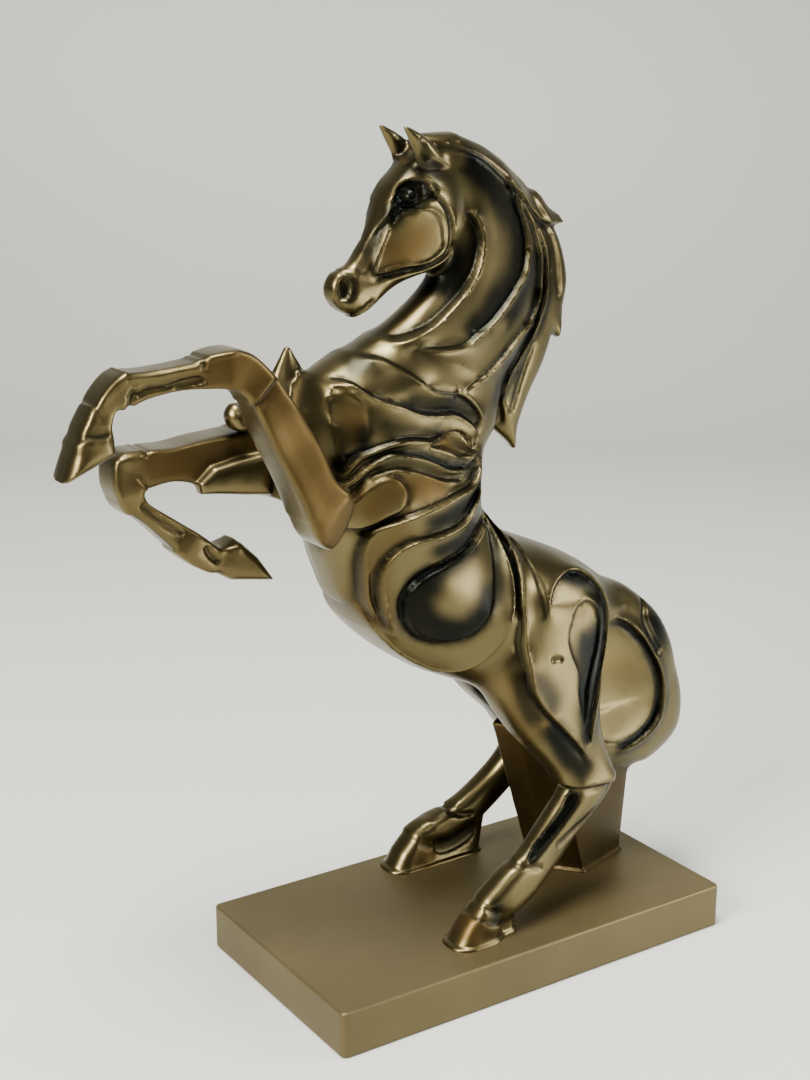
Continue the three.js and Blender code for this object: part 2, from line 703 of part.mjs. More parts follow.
// The place where a quadric is lowest, or the edge's middle where there is no such place near it
function lowest(q, p, r) {
  const matrix = new THREE.Matrix3().set(q[0], q[1], q[2], q[1], q[4], q[5], q[2], q[5], q[7]);
  let at = [0, 1, 2].map((i) => (p[i] + r[i]) / 2);
  if (Math.abs(matrix.determinant()) > 1e-9) {
    const best = new THREE.Vector3(-q[3], -q[6], -q[8]).applyMatrix3(matrix.invert());
    const far = Math.hypot(best.x - at[0], best.y - at[1], best.z - at[2]);
    if (far < 2 * CELL + Math.hypot(p[0] - r[0], p[1] - r[1], p[2] - r[2])) at = best.toArray();
  }
  const [x, y, z] = at;
  const cost =
    q[0] * x * x + 2 * q[1] * x * y + 2 * q[2] * x * z + 2 * q[3] * x +
    q[4] * y * y + 2 * q[5] * y * z + 2 * q[6] * y + q[7] * z * z + 2 * q[8] * z + q[9];
  return { at, cost };
}

// Solids

const wasm = await Module();
wasm.setup();

function solid(geometry) {
  const bare = geometry.clone();
  bare.deleteAttribute("normal");
  bare.deleteAttribute("uv");
  const merged = mergeVertices(bare);
  const mesh = new wasm.Mesh({
    numProp: 3,
    vertProperties: new Float32Array(merged.attributes.position.array),
    triVerts: new Uint32Array(merged.index.array),
  });
  return new wasm.Manifold(mesh);
}

function geometryOf(manifold) {
  const { vertProperties, triVerts } = manifold.getMesh();
  const geometry = new THREE.BufferGeometry();
  geometry.setAttribute("position", new THREE.BufferAttribute(vertProperties, 3));
  geometry.setIndex(new THREE.BufferAttribute(triVerts, 1));
  return geometry;
}

// The horse at its real height, cut flat where it stands
function horseGeometry() {
  const { vertices, faces } = simplify(skin(), FACETS);
  const geometry = new THREE.BufferGeometry();
  geometry.setAttribute("position", new THREE.Float32BufferAttribute(vertices, 3));
  geometry.setIndex(faces.flat());
  const size = HORSE_HEIGHT / DRAWN_HEIGHT;
  geometry.scale(size, size, size);
  const ground = new THREE.BoxGeometry(2 * HORSE_HEIGHT, 2 * HORSE_HEIGHT, HORSE_HEIGHT);
  ground.translate(0, 0, -HORSE_HEIGHT / 2);
  return geometryOf(solid(geometry).subtract(solid(ground)));
}

function plinthGeometry() {
  const x = PLINTH_LENGTH / 2 - PLINTH_BEVEL;
  const y = PLINTH_WIDTH / 2 - PLINTH_BEVEL;
  const r = PLINTH_CORNER - PLINTH_BEVEL;
  const outline = new THREE.Shape();
  outline.absarc(x - r, y - r, r, 0, Math.PI / 2);
  outline.absarc(-x + r, y - r, r, Math.PI / 2, Math.PI);
  outline.absarc(-x + r, -y + r, r, Math.PI, 1.5 * Math.PI);
  outline.absarc(x - r, -y + r, r, 1.5 * Math.PI, 2 * Math.PI);
  const slab = new THREE.ExtrudeGeometry(outline, {
    depth: PLINTH_HEIGHT - 2 * PLINTH_BEVEL,
    bevelThickness: PLINTH_BEVEL,
    bevelSize: PLINTH_BEVEL,
    bevelSegments: 2,
    curveSegments: 3,
  });
  slab.translate(0, 0, PLINTH_BEVEL);
  return slab;
}

const bronze = new THREE.MeshStandardMaterial({ color: 0x9a8560, roughness: 0.32, metalness: 0.95 });
const horse = new THREE.Mesh(horseGeometry(), bronze);
horse.name = "horse";
horse.position.z = PLINTH_HEIGHT;

const bronzePaint = new THREE.MeshStandardMaterial({ color: 0x6c5f3e, roughness: 0.55, metalness: 0.6 });
const plinth = new THREE.Mesh(plinthGeometry(), bronzePaint);
plinth.name = "plinth";

export default new THREE.Group().add(plinth, horse);
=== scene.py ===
"""A rearing horse of patinated bronze on a painted plinth: its skin, its finishes, the light and the camera.

The horse is drawn in millimetres: x runs along the plinth towards the tail, y to the horse's right, and z
up from the ground that it stands on. The finished pieces, the plinth, the lights and the camera are in
metres.
"""
import logging
import math
from dataclasses import dataclass, field
from enum import Enum

import bpy
import numpy as np
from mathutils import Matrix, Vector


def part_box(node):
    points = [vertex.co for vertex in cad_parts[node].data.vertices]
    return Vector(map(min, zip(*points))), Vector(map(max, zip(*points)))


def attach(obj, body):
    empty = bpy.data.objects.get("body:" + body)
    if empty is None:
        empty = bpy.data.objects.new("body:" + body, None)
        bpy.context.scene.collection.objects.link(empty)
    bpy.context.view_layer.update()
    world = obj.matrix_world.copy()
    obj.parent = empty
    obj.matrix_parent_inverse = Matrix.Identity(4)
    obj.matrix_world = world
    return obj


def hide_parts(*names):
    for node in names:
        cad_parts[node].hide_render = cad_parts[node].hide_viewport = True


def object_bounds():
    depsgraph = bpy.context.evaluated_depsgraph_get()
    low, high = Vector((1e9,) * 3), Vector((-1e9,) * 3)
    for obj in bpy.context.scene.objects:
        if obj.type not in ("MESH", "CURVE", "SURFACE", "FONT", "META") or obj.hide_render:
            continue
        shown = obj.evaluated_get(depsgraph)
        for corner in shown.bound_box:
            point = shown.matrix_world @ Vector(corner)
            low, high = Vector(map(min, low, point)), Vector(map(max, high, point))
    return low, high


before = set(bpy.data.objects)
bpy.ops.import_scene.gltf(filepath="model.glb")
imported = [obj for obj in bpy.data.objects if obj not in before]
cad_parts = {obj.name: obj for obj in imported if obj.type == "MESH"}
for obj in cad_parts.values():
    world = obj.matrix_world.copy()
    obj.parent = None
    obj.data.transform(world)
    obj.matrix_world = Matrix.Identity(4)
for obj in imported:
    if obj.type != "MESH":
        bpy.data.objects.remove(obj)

Pair = tuple[float, float, float, float, float, float]
Point = tuple[float, float]
Place = tuple[float, float, float]

LOG = logging.getLogger("horse")

MM = 0.001
PART_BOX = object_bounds()

# The drawing and the grid that it is turned into
CELL = 0.75
MARGIN = 8.0
THINNEST = 1.5
BELOW_GROUND = -6.0
SUNK = -0.8
MOST_TRIANGLES = 190_000

# The least that a length, its square, a reach or a steepness may be where something is divided by it
TINY = 1e-4
TINY_SQUARE = 1e-9
LEAST_REACH = 0.05
LEAST_STEEP = 0.2

# The values that nearly all of a noise texture lies between
NOISE_RANGE = (0.3, 0.7)


class Mark(Enum):
    """The kinds of line that the carving is made of."""

    FOLD = "a lip on the left of the line, with a groove along its right"
    PAD = "an outline that swells or sinks"
    GROOVE = "a furrow along the line"
    # Dark strokes are airbrushed patina; under the jaw and on the shoulder they are painted shade
    BRUSH = "dark airbrushing along the line, with no relief"
    WASH = "browner gold along the line, with no relief"


class Region(Enum):
    """The parts of the horse that have carving of their own."""

    BODY = 1
    HEAD = 2
    MANE = 3
    TAIL = 4
    LEFT_FORE = 5
    RIGHT_FORE = 6
    LEFT_HIND = 7
    RIGHT_HIND = 8
    POST = 9
    PLAIN = 10


# The forms, each a run of pairs across it from one edge to the other: x, z, x, z, y, half-breadth

TRUNK: list[Pair] = [
    (6, 240, -74, 274, 0, 25),
    (0, 228, -90, 257, 0, 31),
    (-5, 214, -93, 233, 0, 34),
    (-4, 201, -91, 209, 0, 36),
    (6, 189, -83, 181, 0, 36),
    (24, 181, -68, 152, 0, 36),
    (44, 173, -46, 132, 0, 35),
    (60, 165, -22, 119, 0, 34),
    (74, 152, 4, 111, 0, 30),
    (84, 138, 24, 108, 0, 26),
]
NECK: list[Pair] = [
    (0, 232, -87, 260, 0, 30),
    (9, 246, -71, 273, 0, 26),
    (20, 264, -54, 283, 0, 21),
    (29, 286, -37, 293, 0, 18),
    (32, 310, -22, 308, 0, 16),
    (27, 332, -20, 320, 0, 15),
    (16, 350, -20, 336, 0, 14),
    (0, 362, -24, 348, 0, 13),
    (-16, 366, -34, 354, 0, 11),
]
HEAD: list[Pair] = [
    (-38, 357, -10, 348, 0, 10),
    (-45, 350, -14, 336, 0, 12),
    (-50, 344, -17, 324, 0, 13.5),
    (-54, 335, -20, 312, 0, 13.5),
    (-58, 326, -30, 306, 0, 11.5),
    (-63, 318, -41, 304, 0, 9.5),
    (-68, 312, -48, 301, 0, 8),
    (-75, 309, -53, 295, 0, 8),
    (-78, 302, -60, 291, 0, 7.5),
    (-74, 294, -65, 289.5, 0, 6),
]
EAR: list[Pair] = [
    (-45, 370.5, -44, 370.5, -9.5, 1.5),
    (-42, 364, -37, 367, -9.5, 3),
    (-39, 358, -28, 360, -9, 4),
    (-37, 352, -21, 351, -8, 5),
]
LEFT_FORELEG: list[Pair] = [
    (-88, 220, -99, 201, -28, 12),
    (-98, 231, -107, 206, -32, 11.5),
    (-104, 245, -114, 220, -32, 10.5),
    (-111, 257, -121, 236, -31, 10),
    (-118, 268, -128, 250, -31, 10),
    (-125, 278, -133, 262, -30, 9.5),
    (-134, 286, -137, 269, -29, 9.5),
    (-143, 288, -143, 272, -29, 9.5),
    (-153, 286, -152, 273, -28, 8),
    (-165, 284, -165, 273, -27, 7.5),
    (-177, 283, -177, 271, -26, 7.5),
    (-185, 283, -185, 268, -25, 8.5),
    (-192, 278, -189, 268, -25, 8),
    (-197, 270, -192, 263, -25, 8),
]
LEFT_FORE_HOOF: list[Pair] = [
    (-199, 271, -191, 265, -25, 7.5),
    (-205, 260, -190, 257, -25, 9),
    (-212, 242, -190, 251, -25, 11),
]
FAR_SHOULDER: list[Pair] = [
    (-86, 276, -84, 276, 22, 1.5),
    (-93, 264, -79, 268, 22, 4),
    (-97, 252, -74, 256, 22, 8),
    (-98, 240, -70, 244, 21, 11),
    (-94, 230, -70, 234, 20, 12),
]
FAR_KNOB: list[Pair] = [
    (-113, 254, -107, 253, 22, 4),
    (-116, 249, -104, 248, 22, 6),
    (-113, 243, -107, 242, 22, 6),
]
FAR_ELBOW: list[Pair] = [
    (-131, 222, -130, 217, 21, 4),
    (-124, 228, -122, 216, 21, 5),
    (-112, 230, -110, 214, 21, 5),
    (-96, 232, -96, 212, 21, 6),
]
RIGHT_FORELEG: list[Pair] = [
    (-80, 242, -80, 206, 28, 12),
    (-98, 242, -97, 211, 32, 12),
    (-113, 241, -113, 215, 33, 11),
    (-126, 240, -126, 219, 32, 10.5),
    (-139, 238, -140, 223, 31, 10),
    (-153, 239, -151, 222, 30, 9.5),
    (-166, 238, -155, 221, 29, 9.5),
    (-169, 226, -154, 217, 28, 9.5),
    (-166, 215, -151, 214, 28, 9),
    (-156, 206, -144, 209, 27, 8),
    (-148, 198, -137, 204, 27, 7.5),
    (-140, 190, -130, 199, 26, 8),
    (-132, 184, -124, 194, 26, 8),
    (-124, 181, -119, 190, 26, 7.5),
]
RIGHT_FORE_HOOF: list[Pair] = [
    (-126, 182, -119, 192, 26, 7.5),
    (-116, 176, -113, 195, 26, 9),
    (-95, 173, -103, 185, 26, 11),
]
LEFT_HIND_LEG: list[Pair] = [
    (48, 168, 14, 172, -14, 18),
    (58, 155, 4, 158, -18, 20),
    (58, 137, 1, 140, -20, 20),
    (55, 119, -8, 124, -22, 19),
    (52, 104, -6, 108, -25, 17),
    (51, 90, 6, 90, -28, 14),
    (55, 77, 18, 77, -31, 11),
    (60, 64, 28, 63, -33, 9),
    (50, 50, 22, 55, -34, 8),
    (36, 39, 13, 46, -35, 7.5),
    (24, 28, 4, 38, -36, 7.5),
    (14, 20, -6, 32, -37, 8),
    (5, 13, -14, 26, -37, 8.5),
    (-8, 8, -22, 18, -37, 8),
]
RIGHT_HIND_LEG: list[Pair] = [
    (48, 168, 14, 172, 14, 18),
    (58, 155, 4, 158, 18, 20),
    (58, 137, 1, 140, 20, 20),
    (56, 119, -3, 122, 23, 19),
    (58, 104, 6, 104, 27, 17),
    (61, 90, 22, 88, 31, 14),
    (67, 77, 38, 73, 34, 11),
    (72, 62, 48, 56, 37, 9),
    (63, 44, 43, 47, 39, 8),
    (51, 31, 33, 38, 41, 7.5),
    (39, 21, 21, 30, 42, 7.5),
    (27, 14, 8, 25, 43, 8),
    (14, 10, -3, 20.5, 44, 8.5),
    (5, 8, -7, 16, 45, 8),
]
HIND_HOOF: list[Pair] = [
    (-11, 13, -23, 18, 0, 8),
    (-12, 4, -32, 9, 0, 9),
    (-13, -6, -41, -6, 0, 10),
]
# How far along and how far across each hind hoof stands
LEFT_HOOF_AT = (0, -37)
RIGHT_HOOF_AT = (18, 45)
LEFT_WEB: list[Pair] = [
    (-1, 18, -12, 16, -37, 4),
    (-2, 8, -14, 8, -37, 4),
    (-3, -6, -18, -6, -37, 5),
]
RIGHT_WEB: list[Pair] = [
    (40, 26, 4, 18, 42, 4),
    (36, 10, 2, 10, 41, 4),
    (32, -6, -2, -6, 40, 5),
]
TAIL: list[Pair] = [
    (68, 151, 46, 136, 0, 14),
    (83, 149, 44, 118, 0, 17),
    (97, 140, 44, 100, 0, 18),
    (109, 129, 45, 84, 0, 19),
    (118, 114, 50, 70, 0, 19),
    (123, 98, 62, 58, 0, 18),
    (127, 84, 78, 54, 0, 17),
    (127, 69, 92, 50, 0, 15),
    (122, 59, 104, 49, 0, 12),
]
CREST: list[Pair] = [
    (-34, 365, -30, 354, 0, 8),
    (-21, 367, -20, 352, 0, 10),
    (-8, 364, -9, 344, 0, 10),
    (5, 356, 0, 336, 0, 9),
    (18, 347, 8, 328, 0, 8),
    (32, 336, 16, 318, 0, 7),
    (46, 325, 28, 316, 0, 5),
]
LOCK: list[Pair] = [
    (30, 340, 8, 332, 0, 8),
    (41, 324, 14, 316, 0, 8),
    (47, 312, 17, 300, 0, 7),
    (50, 298, 19, 284, 0, 6.5),
    (48, 286, 26, 272, 0, 6),
    (46, 272, 41, 275, 0, 4),
]
LOWER_LOCK: list[Pair] = [
    (44, 300, 8, 296, 0, 8),
    (43, 280, 6, 276, 0, 8),
    (37, 262, 3, 258, 0, 8),
    (28, 246, 3, 244, 0, 7),
    (23, 232, 8, 235, 0, 5),
    (22, 222, 18, 226, 0, 3),
]
POST_FOOT: list[Point] = [(46, 12), (50, 3), (62, -12), (94, -2), (98, 12), (84, 26), (60, 24)]
POST_HEAD: list[Point] = [(18, 8), (24, -5), (38, -15), (94, -10), (100, 10), (84, 22), (38, 22)]
POST_HEIGHT = 84.0
POST_BLEND = 6.0


# Curves of the side view


def spline(points: np.ndarray, closed: bool, at: np.ndarray) -> np.ndarray:
    """Places on a centripetal Catmull-Rom curve.

    Args:
        points: the knots, one to a row.
        closed: whether the last knot joins the first.
        at: the places, as shares of the curve's spans.

    Returns:
        One row for each place.
    """
    count = len(points)
    spans = count if closed else count - 1
    reach = np.clip(at, 0, 1) * spans
    span = np.minimum(reach.astype(int), spans - 1)
    share = (reach - span)[:, None]
    padded = np.vstack([2 * points[0] - points[1], points, 2 * points[-1] - points[-2]])
    knots = [points[(span + step) % count] if closed else padded[span + 1 + step] for step in (-1, 0, 1, 2)]
    gaps = [np.maximum(((b - a) ** 2).sum(1, keepdims=True) ** 0.25, TINY) for a, b in zip(knots, knots[1:])]
    leave = (knots[1] - knots[0]) / gaps[0] - (knots[2] - knots[0]) / (gaps[0] + gaps[1])
    leave = (leave + (knots[2] - knots[1]) / gaps[1]) * gaps[1]
    arrive = (knots[2] - knots[1]) / gaps[1] - (knots[3] - knots[1]) / (gaps[1] + gaps[2])
    arrive = (arrive + (knots[3] - knots[2]) / gaps[2]) * gaps[1]
    square = 3 * (knots[2] - knots[1]) - 2 * leave - arrive
    cube = 2 * (knots[1] - knots[2]) + leave + arrive
    return knots[1] + share * (leave + share * (square + share * cube))


def line_through(points: list[Point], closed: bool = False) -> np.ndarray:
    """A smooth polyline through the given points.

    Args:
        points: the knots.
        closed: whether it comes back to its start.

    Returns:
        The polyline's points, four to a knot.
    """
    knots = np.array(points, float)
    steps = 4 * len(knots)
    at = np.linspace(0, 1, steps + 1)
    return spline(knots, closed, at[:-1] if closed else at)


@dataclass
class Near:
    """What is known of the nearest place on a polyline to each of many points."""

    away: np.ndarray
    along: np.ndarray
    side: np.ndarray
    inside: np.ndarray


def nearest(path: np.ndarray, closed: bool, x: np.ndarray, z: np.ndarray) -> Near:
    """Finds the nearest place of a polyline to each point.

    Args:
        path: the polyline's points.
        closed: whether it is an outline.
        x: the points' first coordinates.
        z: the points' second coordinates.

    Returns:
        The distance, the share of the line, the side (1 on the left hand) and whether it is inside.
    """
    starts = path if closed else path[:-1]
    ends = np.roll(path, -1, axis=0) if closed else path[1:]
    away = np.full(x.shape, np.inf, np.float32)
    along = np.zeros(x.shape, np.float32)
    side = np.ones(x.shape, np.float32)
    inside = np.zeros(x.shape, bool)
    for i, (start, end) in enumerate(zip(starts, ends)):
        step = end - start
        length = max(float(step @ step), TINY_SQUARE)
        dx = x - start[0]
        dz = z - start[1]
        share = np.clip((dx * step[0] + dz * step[1]) / length, 0, 1)
        distance = np.hypot(dx - share * step[0], dz - share * step[1])
        closer = distance < away
        away = np.where(closer, distance, away)
        along = np.where(closer, i + share, along)
        side = np.where(closer, np.where(step[0] * dz - step[1] * dx >= 0, 1, -1), side)
        if closed and start[1] != end[1]:
            crosses = (start[1] > z) != (end[1] > z)
            inside ^= crosses & (x < start[0] + (z - start[1]) / step[1] * step[0])
    return Near(away, along / len(starts), side, inside)


def ramp(value: np.ndarray, low: float, high: float) -> np.ndarray:
    """A smooth rise from 0 at `low` to 1 at `high`."""
    share = np.clip((value - low) / (high - low), 0, 1)
    return share * share * (3 - 2 * share)


@dataclass(frozen=True)
class Cut:
    """One line of the carving: what it raises or sinks beside itself, and how it is airbrushed.

    Heights, widths and depths are millimetres. `dark` is how far the airbrushing reaches, fainter on a fold
    where it is under 1, and on a dark stroke (airbrushing, in a few places painted shade) or a wash how
    strong it is.
    """

    kind: Mark
    points: tuple[Point, ...]
    height: float
    width: float = 8.0
    groove: float = 1.0
    rim: float = 0.0
    dark: float = 0.0

    EDGE = 1.1
    UNDERCUT_WIDTH = 4.5
    PAD_GROOVE_WIDTH = 3.0
    PAD_FOOT = 1.8
    RIM_AT = 2.4
    RIM_WIDTH = 1.0
    BEAD = 1.2
    BEAD_WIDTH = 0.9
    CRISP = 1.8
    # Shares of the line's length, a width, the bead or full black, and the power by which the lip falls away
    FADE = 0.07
    SHADE_FADE = 0.04
    CORE = 0.4
    BARE_BEAD = 0.6
    SOFT = 0.75
    OUTER = 0.3
    LIP_POWER = 1.5

    def near(self, x: np.ndarray, z: np.ndarray) -> Near:
        """Where the points lie beside the cut's line."""
        closed = self.kind is Mark.PAD
        return nearest(line_through(list(self.points), closed), closed, x, z)

    @staticmethod
    def rise(near: Near, fade: float) -> np.ndarray:
        """From 0 at the line's two ends to 1 along its middle."""
        return ramp(near.along, 0, fade) * ramp(1 - near.along, 0, fade)

    def reach(self) -> float:
        """How far from its line the cut can be felt."""
        return max(self.width, self.UNDERCUT_WIDTH + self.EDGE, self.PAD_GROOVE_WIDTH, self.dark)

    def relief(self, x: np.ndarray, z: np.ndarray) -> np.ndarray:
        """How far the cut raises the skin.

        Args:
            x: the points' places along the plinth.
            z: their heights.

        Returns:
            The rise at each point, negative where it sinks.
        """
        near = self.near(x, z)
        if self.kind is Mark.PAD:
            outside = -self.groove * np.maximum(0, 1 - near.away / self.PAD_GROOVE_WIDTH)
            share = np.minimum(1, near.away / self.width)
            dome = self.height * np.sqrt(np.maximum(0, 1 - (1 - share) ** 2))
            foot = self.groove * (1 - ramp(near.away, 0, self.PAD_FOOT))
            return np.where(near.inside, dome - foot, outside)
        ends = self.rise(near, self.FADE)
        if self.kind is Mark.GROOVE:
            return -self.height * ends * np.maximum(0, 1 - (near.away / self.width) ** 2)
        across = near.away * near.side
        lip = self.height * np.maximum(0, 1 - np.maximum(0, across) / self.width) ** self.LIP_POWER
        lip -= self.rim * np.exp(-(((across - self.RIM_AT) / self.RIM_WIDTH) ** 2))
        under = -self.groove * np.maximum(0, 1 + np.minimum(0, across) / self.UNDERCUT_WIDTH)
        return ends * (under + (lip - under) * ramp(across, -self.EDGE, self.EDGE))

    def shade(self, x: np.ndarray, z: np.ndarray) -> np.ndarray:
        """How dark the cut's own airbrushing is, painted shade included.

        Args:
            x: the points' places along the plinth.
            z: their heights.

        Returns:
            A share from 0 to 1 at each point.
        """
        near = self.near(x, z)
        if self.kind is Mark.PAD:
            lower = near.inside == (self.height < 0)
            return ramp(near.away, self.dark, 0) * np.where(lower, 1.0, self.OUTER)
        ends = self.rise(near, self.SHADE_FADE)
        if self.kind in (Mark.BRUSH, Mark.WASH):
            return self.dark * ends * ramp(near.away, self.width, self.CORE * self.width)
        if self.kind is Mark.GROOVE:
            return ends * ramp(near.away, self.dark, 0)
        across = near.away * near.side
        crisp = ramp(across, -self.CRISP, -0.5 * self.CRISP)
        soft = self.SOFT * ramp(across, -self.dark, 0)
        foot = ramp(across, self.BEAD * self.BARE_BEAD, 0)
        return min(1.0, self.dark) * ends * np.maximum(crisp, soft) * foot

    def polish(self, x: np.ndarray, z: np.ndarray) -> np.ndarray:
        """How far the cut's lip is rubbed bright.

        Args:
            x: the points' places along the plinth.
            z: their heights.

        Returns:
            A share from 0 to 1 at each point.
        """
        if self.kind is not Mark.FOLD or not self.rim:
            return np.zeros(x.shape)
        near = self.near(x, z)
        ends = self.rise(near, self.SHADE_FADE)
        return ends * np.exp(-(((near.away * near.side - self.BEAD) / self.BEAD_WIDTH) ** 2))


def summed(cuts: list[Cut], x: np.ndarray, z: np.ndarray) -> np.ndarray:
    """The relief of all the cuts together.

    Args:
        cuts: the carving of one region.
        x: the points' places along the plinth.
        z: their heights.

    Returns:
        The rise at each point.
    """
    total = np.zeros(x.shape, np.float32)
    for cut in cuts:
        if cut.kind in (Mark.BRUSH, Mark.WASH):
            continue
        knots = np.array(cut.points)
        low = knots.min(0) - cut.reach()
        high = knots.max(0) + cut.reach()
        close = (x > low[0]) & (x < high[0]) & (z > low[1]) & (z < high[1])
        if close.any():
            total[close] += cut.relief(x[close], z[close])
    return total


@dataclass(frozen=True)
class Form:
    """One mass of the horse, with how square its section is and how it meets what is there before it."""

    pairs: list[Pair]
    region: Region
    power: float = 2.2
    blend: float = 8.0
    smooth: bool = True

    def outline(self) -> np.ndarray:
        """The form's outline in the side view.

        Returns:
            Its points, once round.
        """
        near = [(pair[0], pair[1]) for pair in self.pairs]
        far = [(pair[2], pair[3]) for pair in self.pairs]
        around = near + far[::-1]
        return line_through(around, True) if self.smooth else np.array(around, float)

    def axis(self) -> np.ndarray:
        """The line down the form's middle."""
        return line_through([((a + c) / 2, (b + d) / 2) for a, b, c, d, _, _ in self.pairs])

    def across(self) -> tuple[float, float]:
        """The lowest and the highest place in y that the form reaches."""
        rows = np.array(self.pairs)
        return (rows[:, 4] - rows[:, 5]).min(), (rows[:, 4] + rows[:, 5]).max()

    def sizes(self, along: np.ndarray) -> np.ndarray:
        """The form's place in y, its half-breadth and its radius, for shares of its length."""
        rows = [(y, half, max(THINNEST, math.hypot(a - c, b - d) / 2)) for a, b, c, d, y, half in self.pairs]
        return spline(np.array(rows), False, along)


def mirrored(pairs: list[Pair]) -> list[Pair]:
    """The same form on the horse's other side."""
    return [(a, b, c, d, -y, half) for a, b, c, d, y, half in pairs]


def moved(pairs: list[Pair], forward: float, sideways: float) -> list[Pair]:
    """The same form further along the plinth and to the side."""
    return [(a + forward, b, c + forward, d, y + sideways, half) for a, b, c, d, y, half in pairs]


@dataclass
class Clay:
    """The block of space round the horse, with the distance to its skin at each point of a grid."""

    low: np.ndarray
    high: np.ndarray
    cell: float
    gap: np.ndarray = field(init=False)
    owner: np.ndarray = field(init=False)

    # The layers of the grid above the ground that a bead of glue can reach
    GLUE_LAYERS = 8

    def __post_init__(self) -> None:
        """Lays out the grid, empty."""
        counts = np.ceil((self.high - self.low) / self.cell).astype(int) + 1
        self.xs, self.ys, self.zs = (self.low[i] + self.cell * np.arange(counts[i]) for i in range(3))
        shape = (counts[2], counts[1], counts[0])
        self.gap = np.full(shape, MARGIN, np.float32)
        self.owner = np.full(shape, Region.PLAIN.value, np.uint8)

    @staticmethod
    def span(values: np.ndarray, low: float, high: float) -> slice:
        """The run of grid lines between two places."""
        return slice(int(np.searchsorted(values, low)), int(np.searchsorted(values, high)))

    def join(self, part: tuple[slice, slice, slice], away: np.ndarray, blend: float, region: Region) -> None:
        """Blends a mass into what is there.

        Args:
            part: the piece of the grid that it is given for.
            away: the distance to it.
            blend: the width over which the two run together.
            region: the region that its skin belongs to.
        """
        old = self.gap[part]
        overlap = np.maximum(blend - np.abs(old - away), 0) / blend
        self.owner[part] = np.where(away < old, region.value, self.owner[part])
        self.gap[part] = np.minimum(old, away) - overlap * overlap * blend / 4

    def add(self, form: Form, cuts: list[Cut]) -> None:
        """Blends a form into the block, with its carving.

        Args:
            form: the form.
            cuts: the carving that lies on it.
        """
        outline = form.outline()
        low = outline.min(0) - MARGIN
        high = outline.max(0) + MARGIN
        part_x = self.span(self.xs, low[0], high[0])
        part_z = self.span(self.zs, low[1], high[1])
        lowest, highest = form.across()
        part_y = self.span(self.ys, lowest - MARGIN, highest + MARGIN)
        z, x = np.meshgrid(self.zs[part_z], self.xs[part_x], indexing="ij")
        edge = nearest(outline, True, x, z)
        deep = np.where(edge.inside, edge.away, -edge.away)
        along = nearest(form.axis(), False, x, z).along
        columns = form.sizes(along.ravel()).T
        middle, half, radius = (column.reshape(x.shape).astype(np.float32) for column in columns)
        raised = summed(cuts, x, z)
        u = np.maximum(0, 1 - deep / radius)[:, None, :]
        v = np.abs(self.ys[part_y][None, :, None].astype(np.float32) - middle[:, None, :]) / half[:, None, :]
        p = form.power
        reach = np.maximum((u**p + v**p) ** (1 / p), LEAST_REACH)
        slope_u = (u / reach) ** (p - 1) / radius[:, None, :]
        slope_v = (v / reach) ** (p - 1) / half[:, None, :]
        away = (reach - 1) / np.maximum(np.hypot(slope_u, slope_v), TINY)
        least = -np.minimum(radius, half)[:, None, :]
        away = np.maximum(away, least) - raised[:, None, :]
        away = np.where((deep < -MARGIN)[:, None, :], MARGIN, away)
        self.join((part_z, part_y, part_x), away.astype(np.float32), form.blend, form.region)

    def add_post(self, foot: list[Point], head: list[Point], height: float, blend: float) -> None:
        """Blends in the post, a prism whose outline changes from foot to head.

        Args:
            foot: its outline in plan at the ground.
            head: its outline in plan at its top.
            height: its height.
            blend: the width over which it runs into the horse.
        """
        low = np.minimum(np.min(foot, axis=0), np.min(head, axis=0)) - MARGIN
        high = np.maximum(np.max(foot, axis=0), np.max(head, axis=0)) + MARGIN
        part_x = self.span(self.xs, low[0], high[0])
        part_y = self.span(self.ys, low[1], high[1])
        y, x = np.meshgrid(self.ys[part_y], self.xs[part_x], indexing="ij")
        top = int(np.searchsorted(self.zs, height + MARGIN))
        away = np.empty((top, *x.shape), np.float32)
        for k, z in enumerate(self.zs[:top]):
            share = min(1.0, max(0.0, z / height))
            outline = np.array(foot) * (1 - share) + np.array(head) * share
            edge = nearest(outline, True, x, y)
            away[k] = np.maximum(np.where(edge.inside, -edge.away, edge.away), z - height)
        self.join((slice(0, top), part_y, part_x), away, blend, Region.POST)

    def add_glue(self, radius: float) -> None:
        """Lays a bead along everything that meets the ground.

        Args:
            radius: the bead's radius.
        """
        ground = int(np.searchsorted(self.zs, 0.0))
        top = ground + self.GLUE_LAYERS
        contact = np.maximum(self.gap[ground], 0)[None]
        heights = self.zs[:top].astype(np.float32)[:, None, None]
        bead = np.hypot(contact, np.maximum(heights, 0)) - radius
        part = (slice(0, top), slice(None), slice(None))
        self.gap[part] = np.minimum(self.gap[part], bead)

    def cut_flat(self, height: float) -> None:
        """Takes away what is lower than a height."""
        self.gap = np.maximum(self.gap, (height - self.zs)[:, None, None].astype(np.float32))

    def at(self, points: np.ndarray) -> np.ndarray:
        """The distance to the skin at any points.

        Args:
            points: one place to a row.

        Returns:
            The distance at each, worked out between grid points.
        """
        where = (points - self.low) / self.cell
        limit = np.array(self.gap.shape[::-1]) - 2
        base = np.clip(where.astype(int), 0, limit)
        share = np.clip(where - base, 0, 1)
        total = np.zeros(len(points))
        for corner in range(8):
            step = np.array([corner & 1, corner >> 1 & 1, corner >> 2])
            weight = np.where(step, share, 1 - share).prod(1)
            i, j, k = (base + step).T
            total += weight * self.gap[k, j, i]
        return total

    def slope(self, points: np.ndarray) -> np.ndarray:
        """The direction away from the skin at any points, its length the field's steepness.

        Args:
            points: one place to a row.

        Returns:
            One direction to a row.
        """
        step = self.cell * 0.5
        axes = np.eye(3) * step
        return np.stack([(self.at(points + axis) - self.at(points - axis)) / (2 * step) for axis in axes], 1)

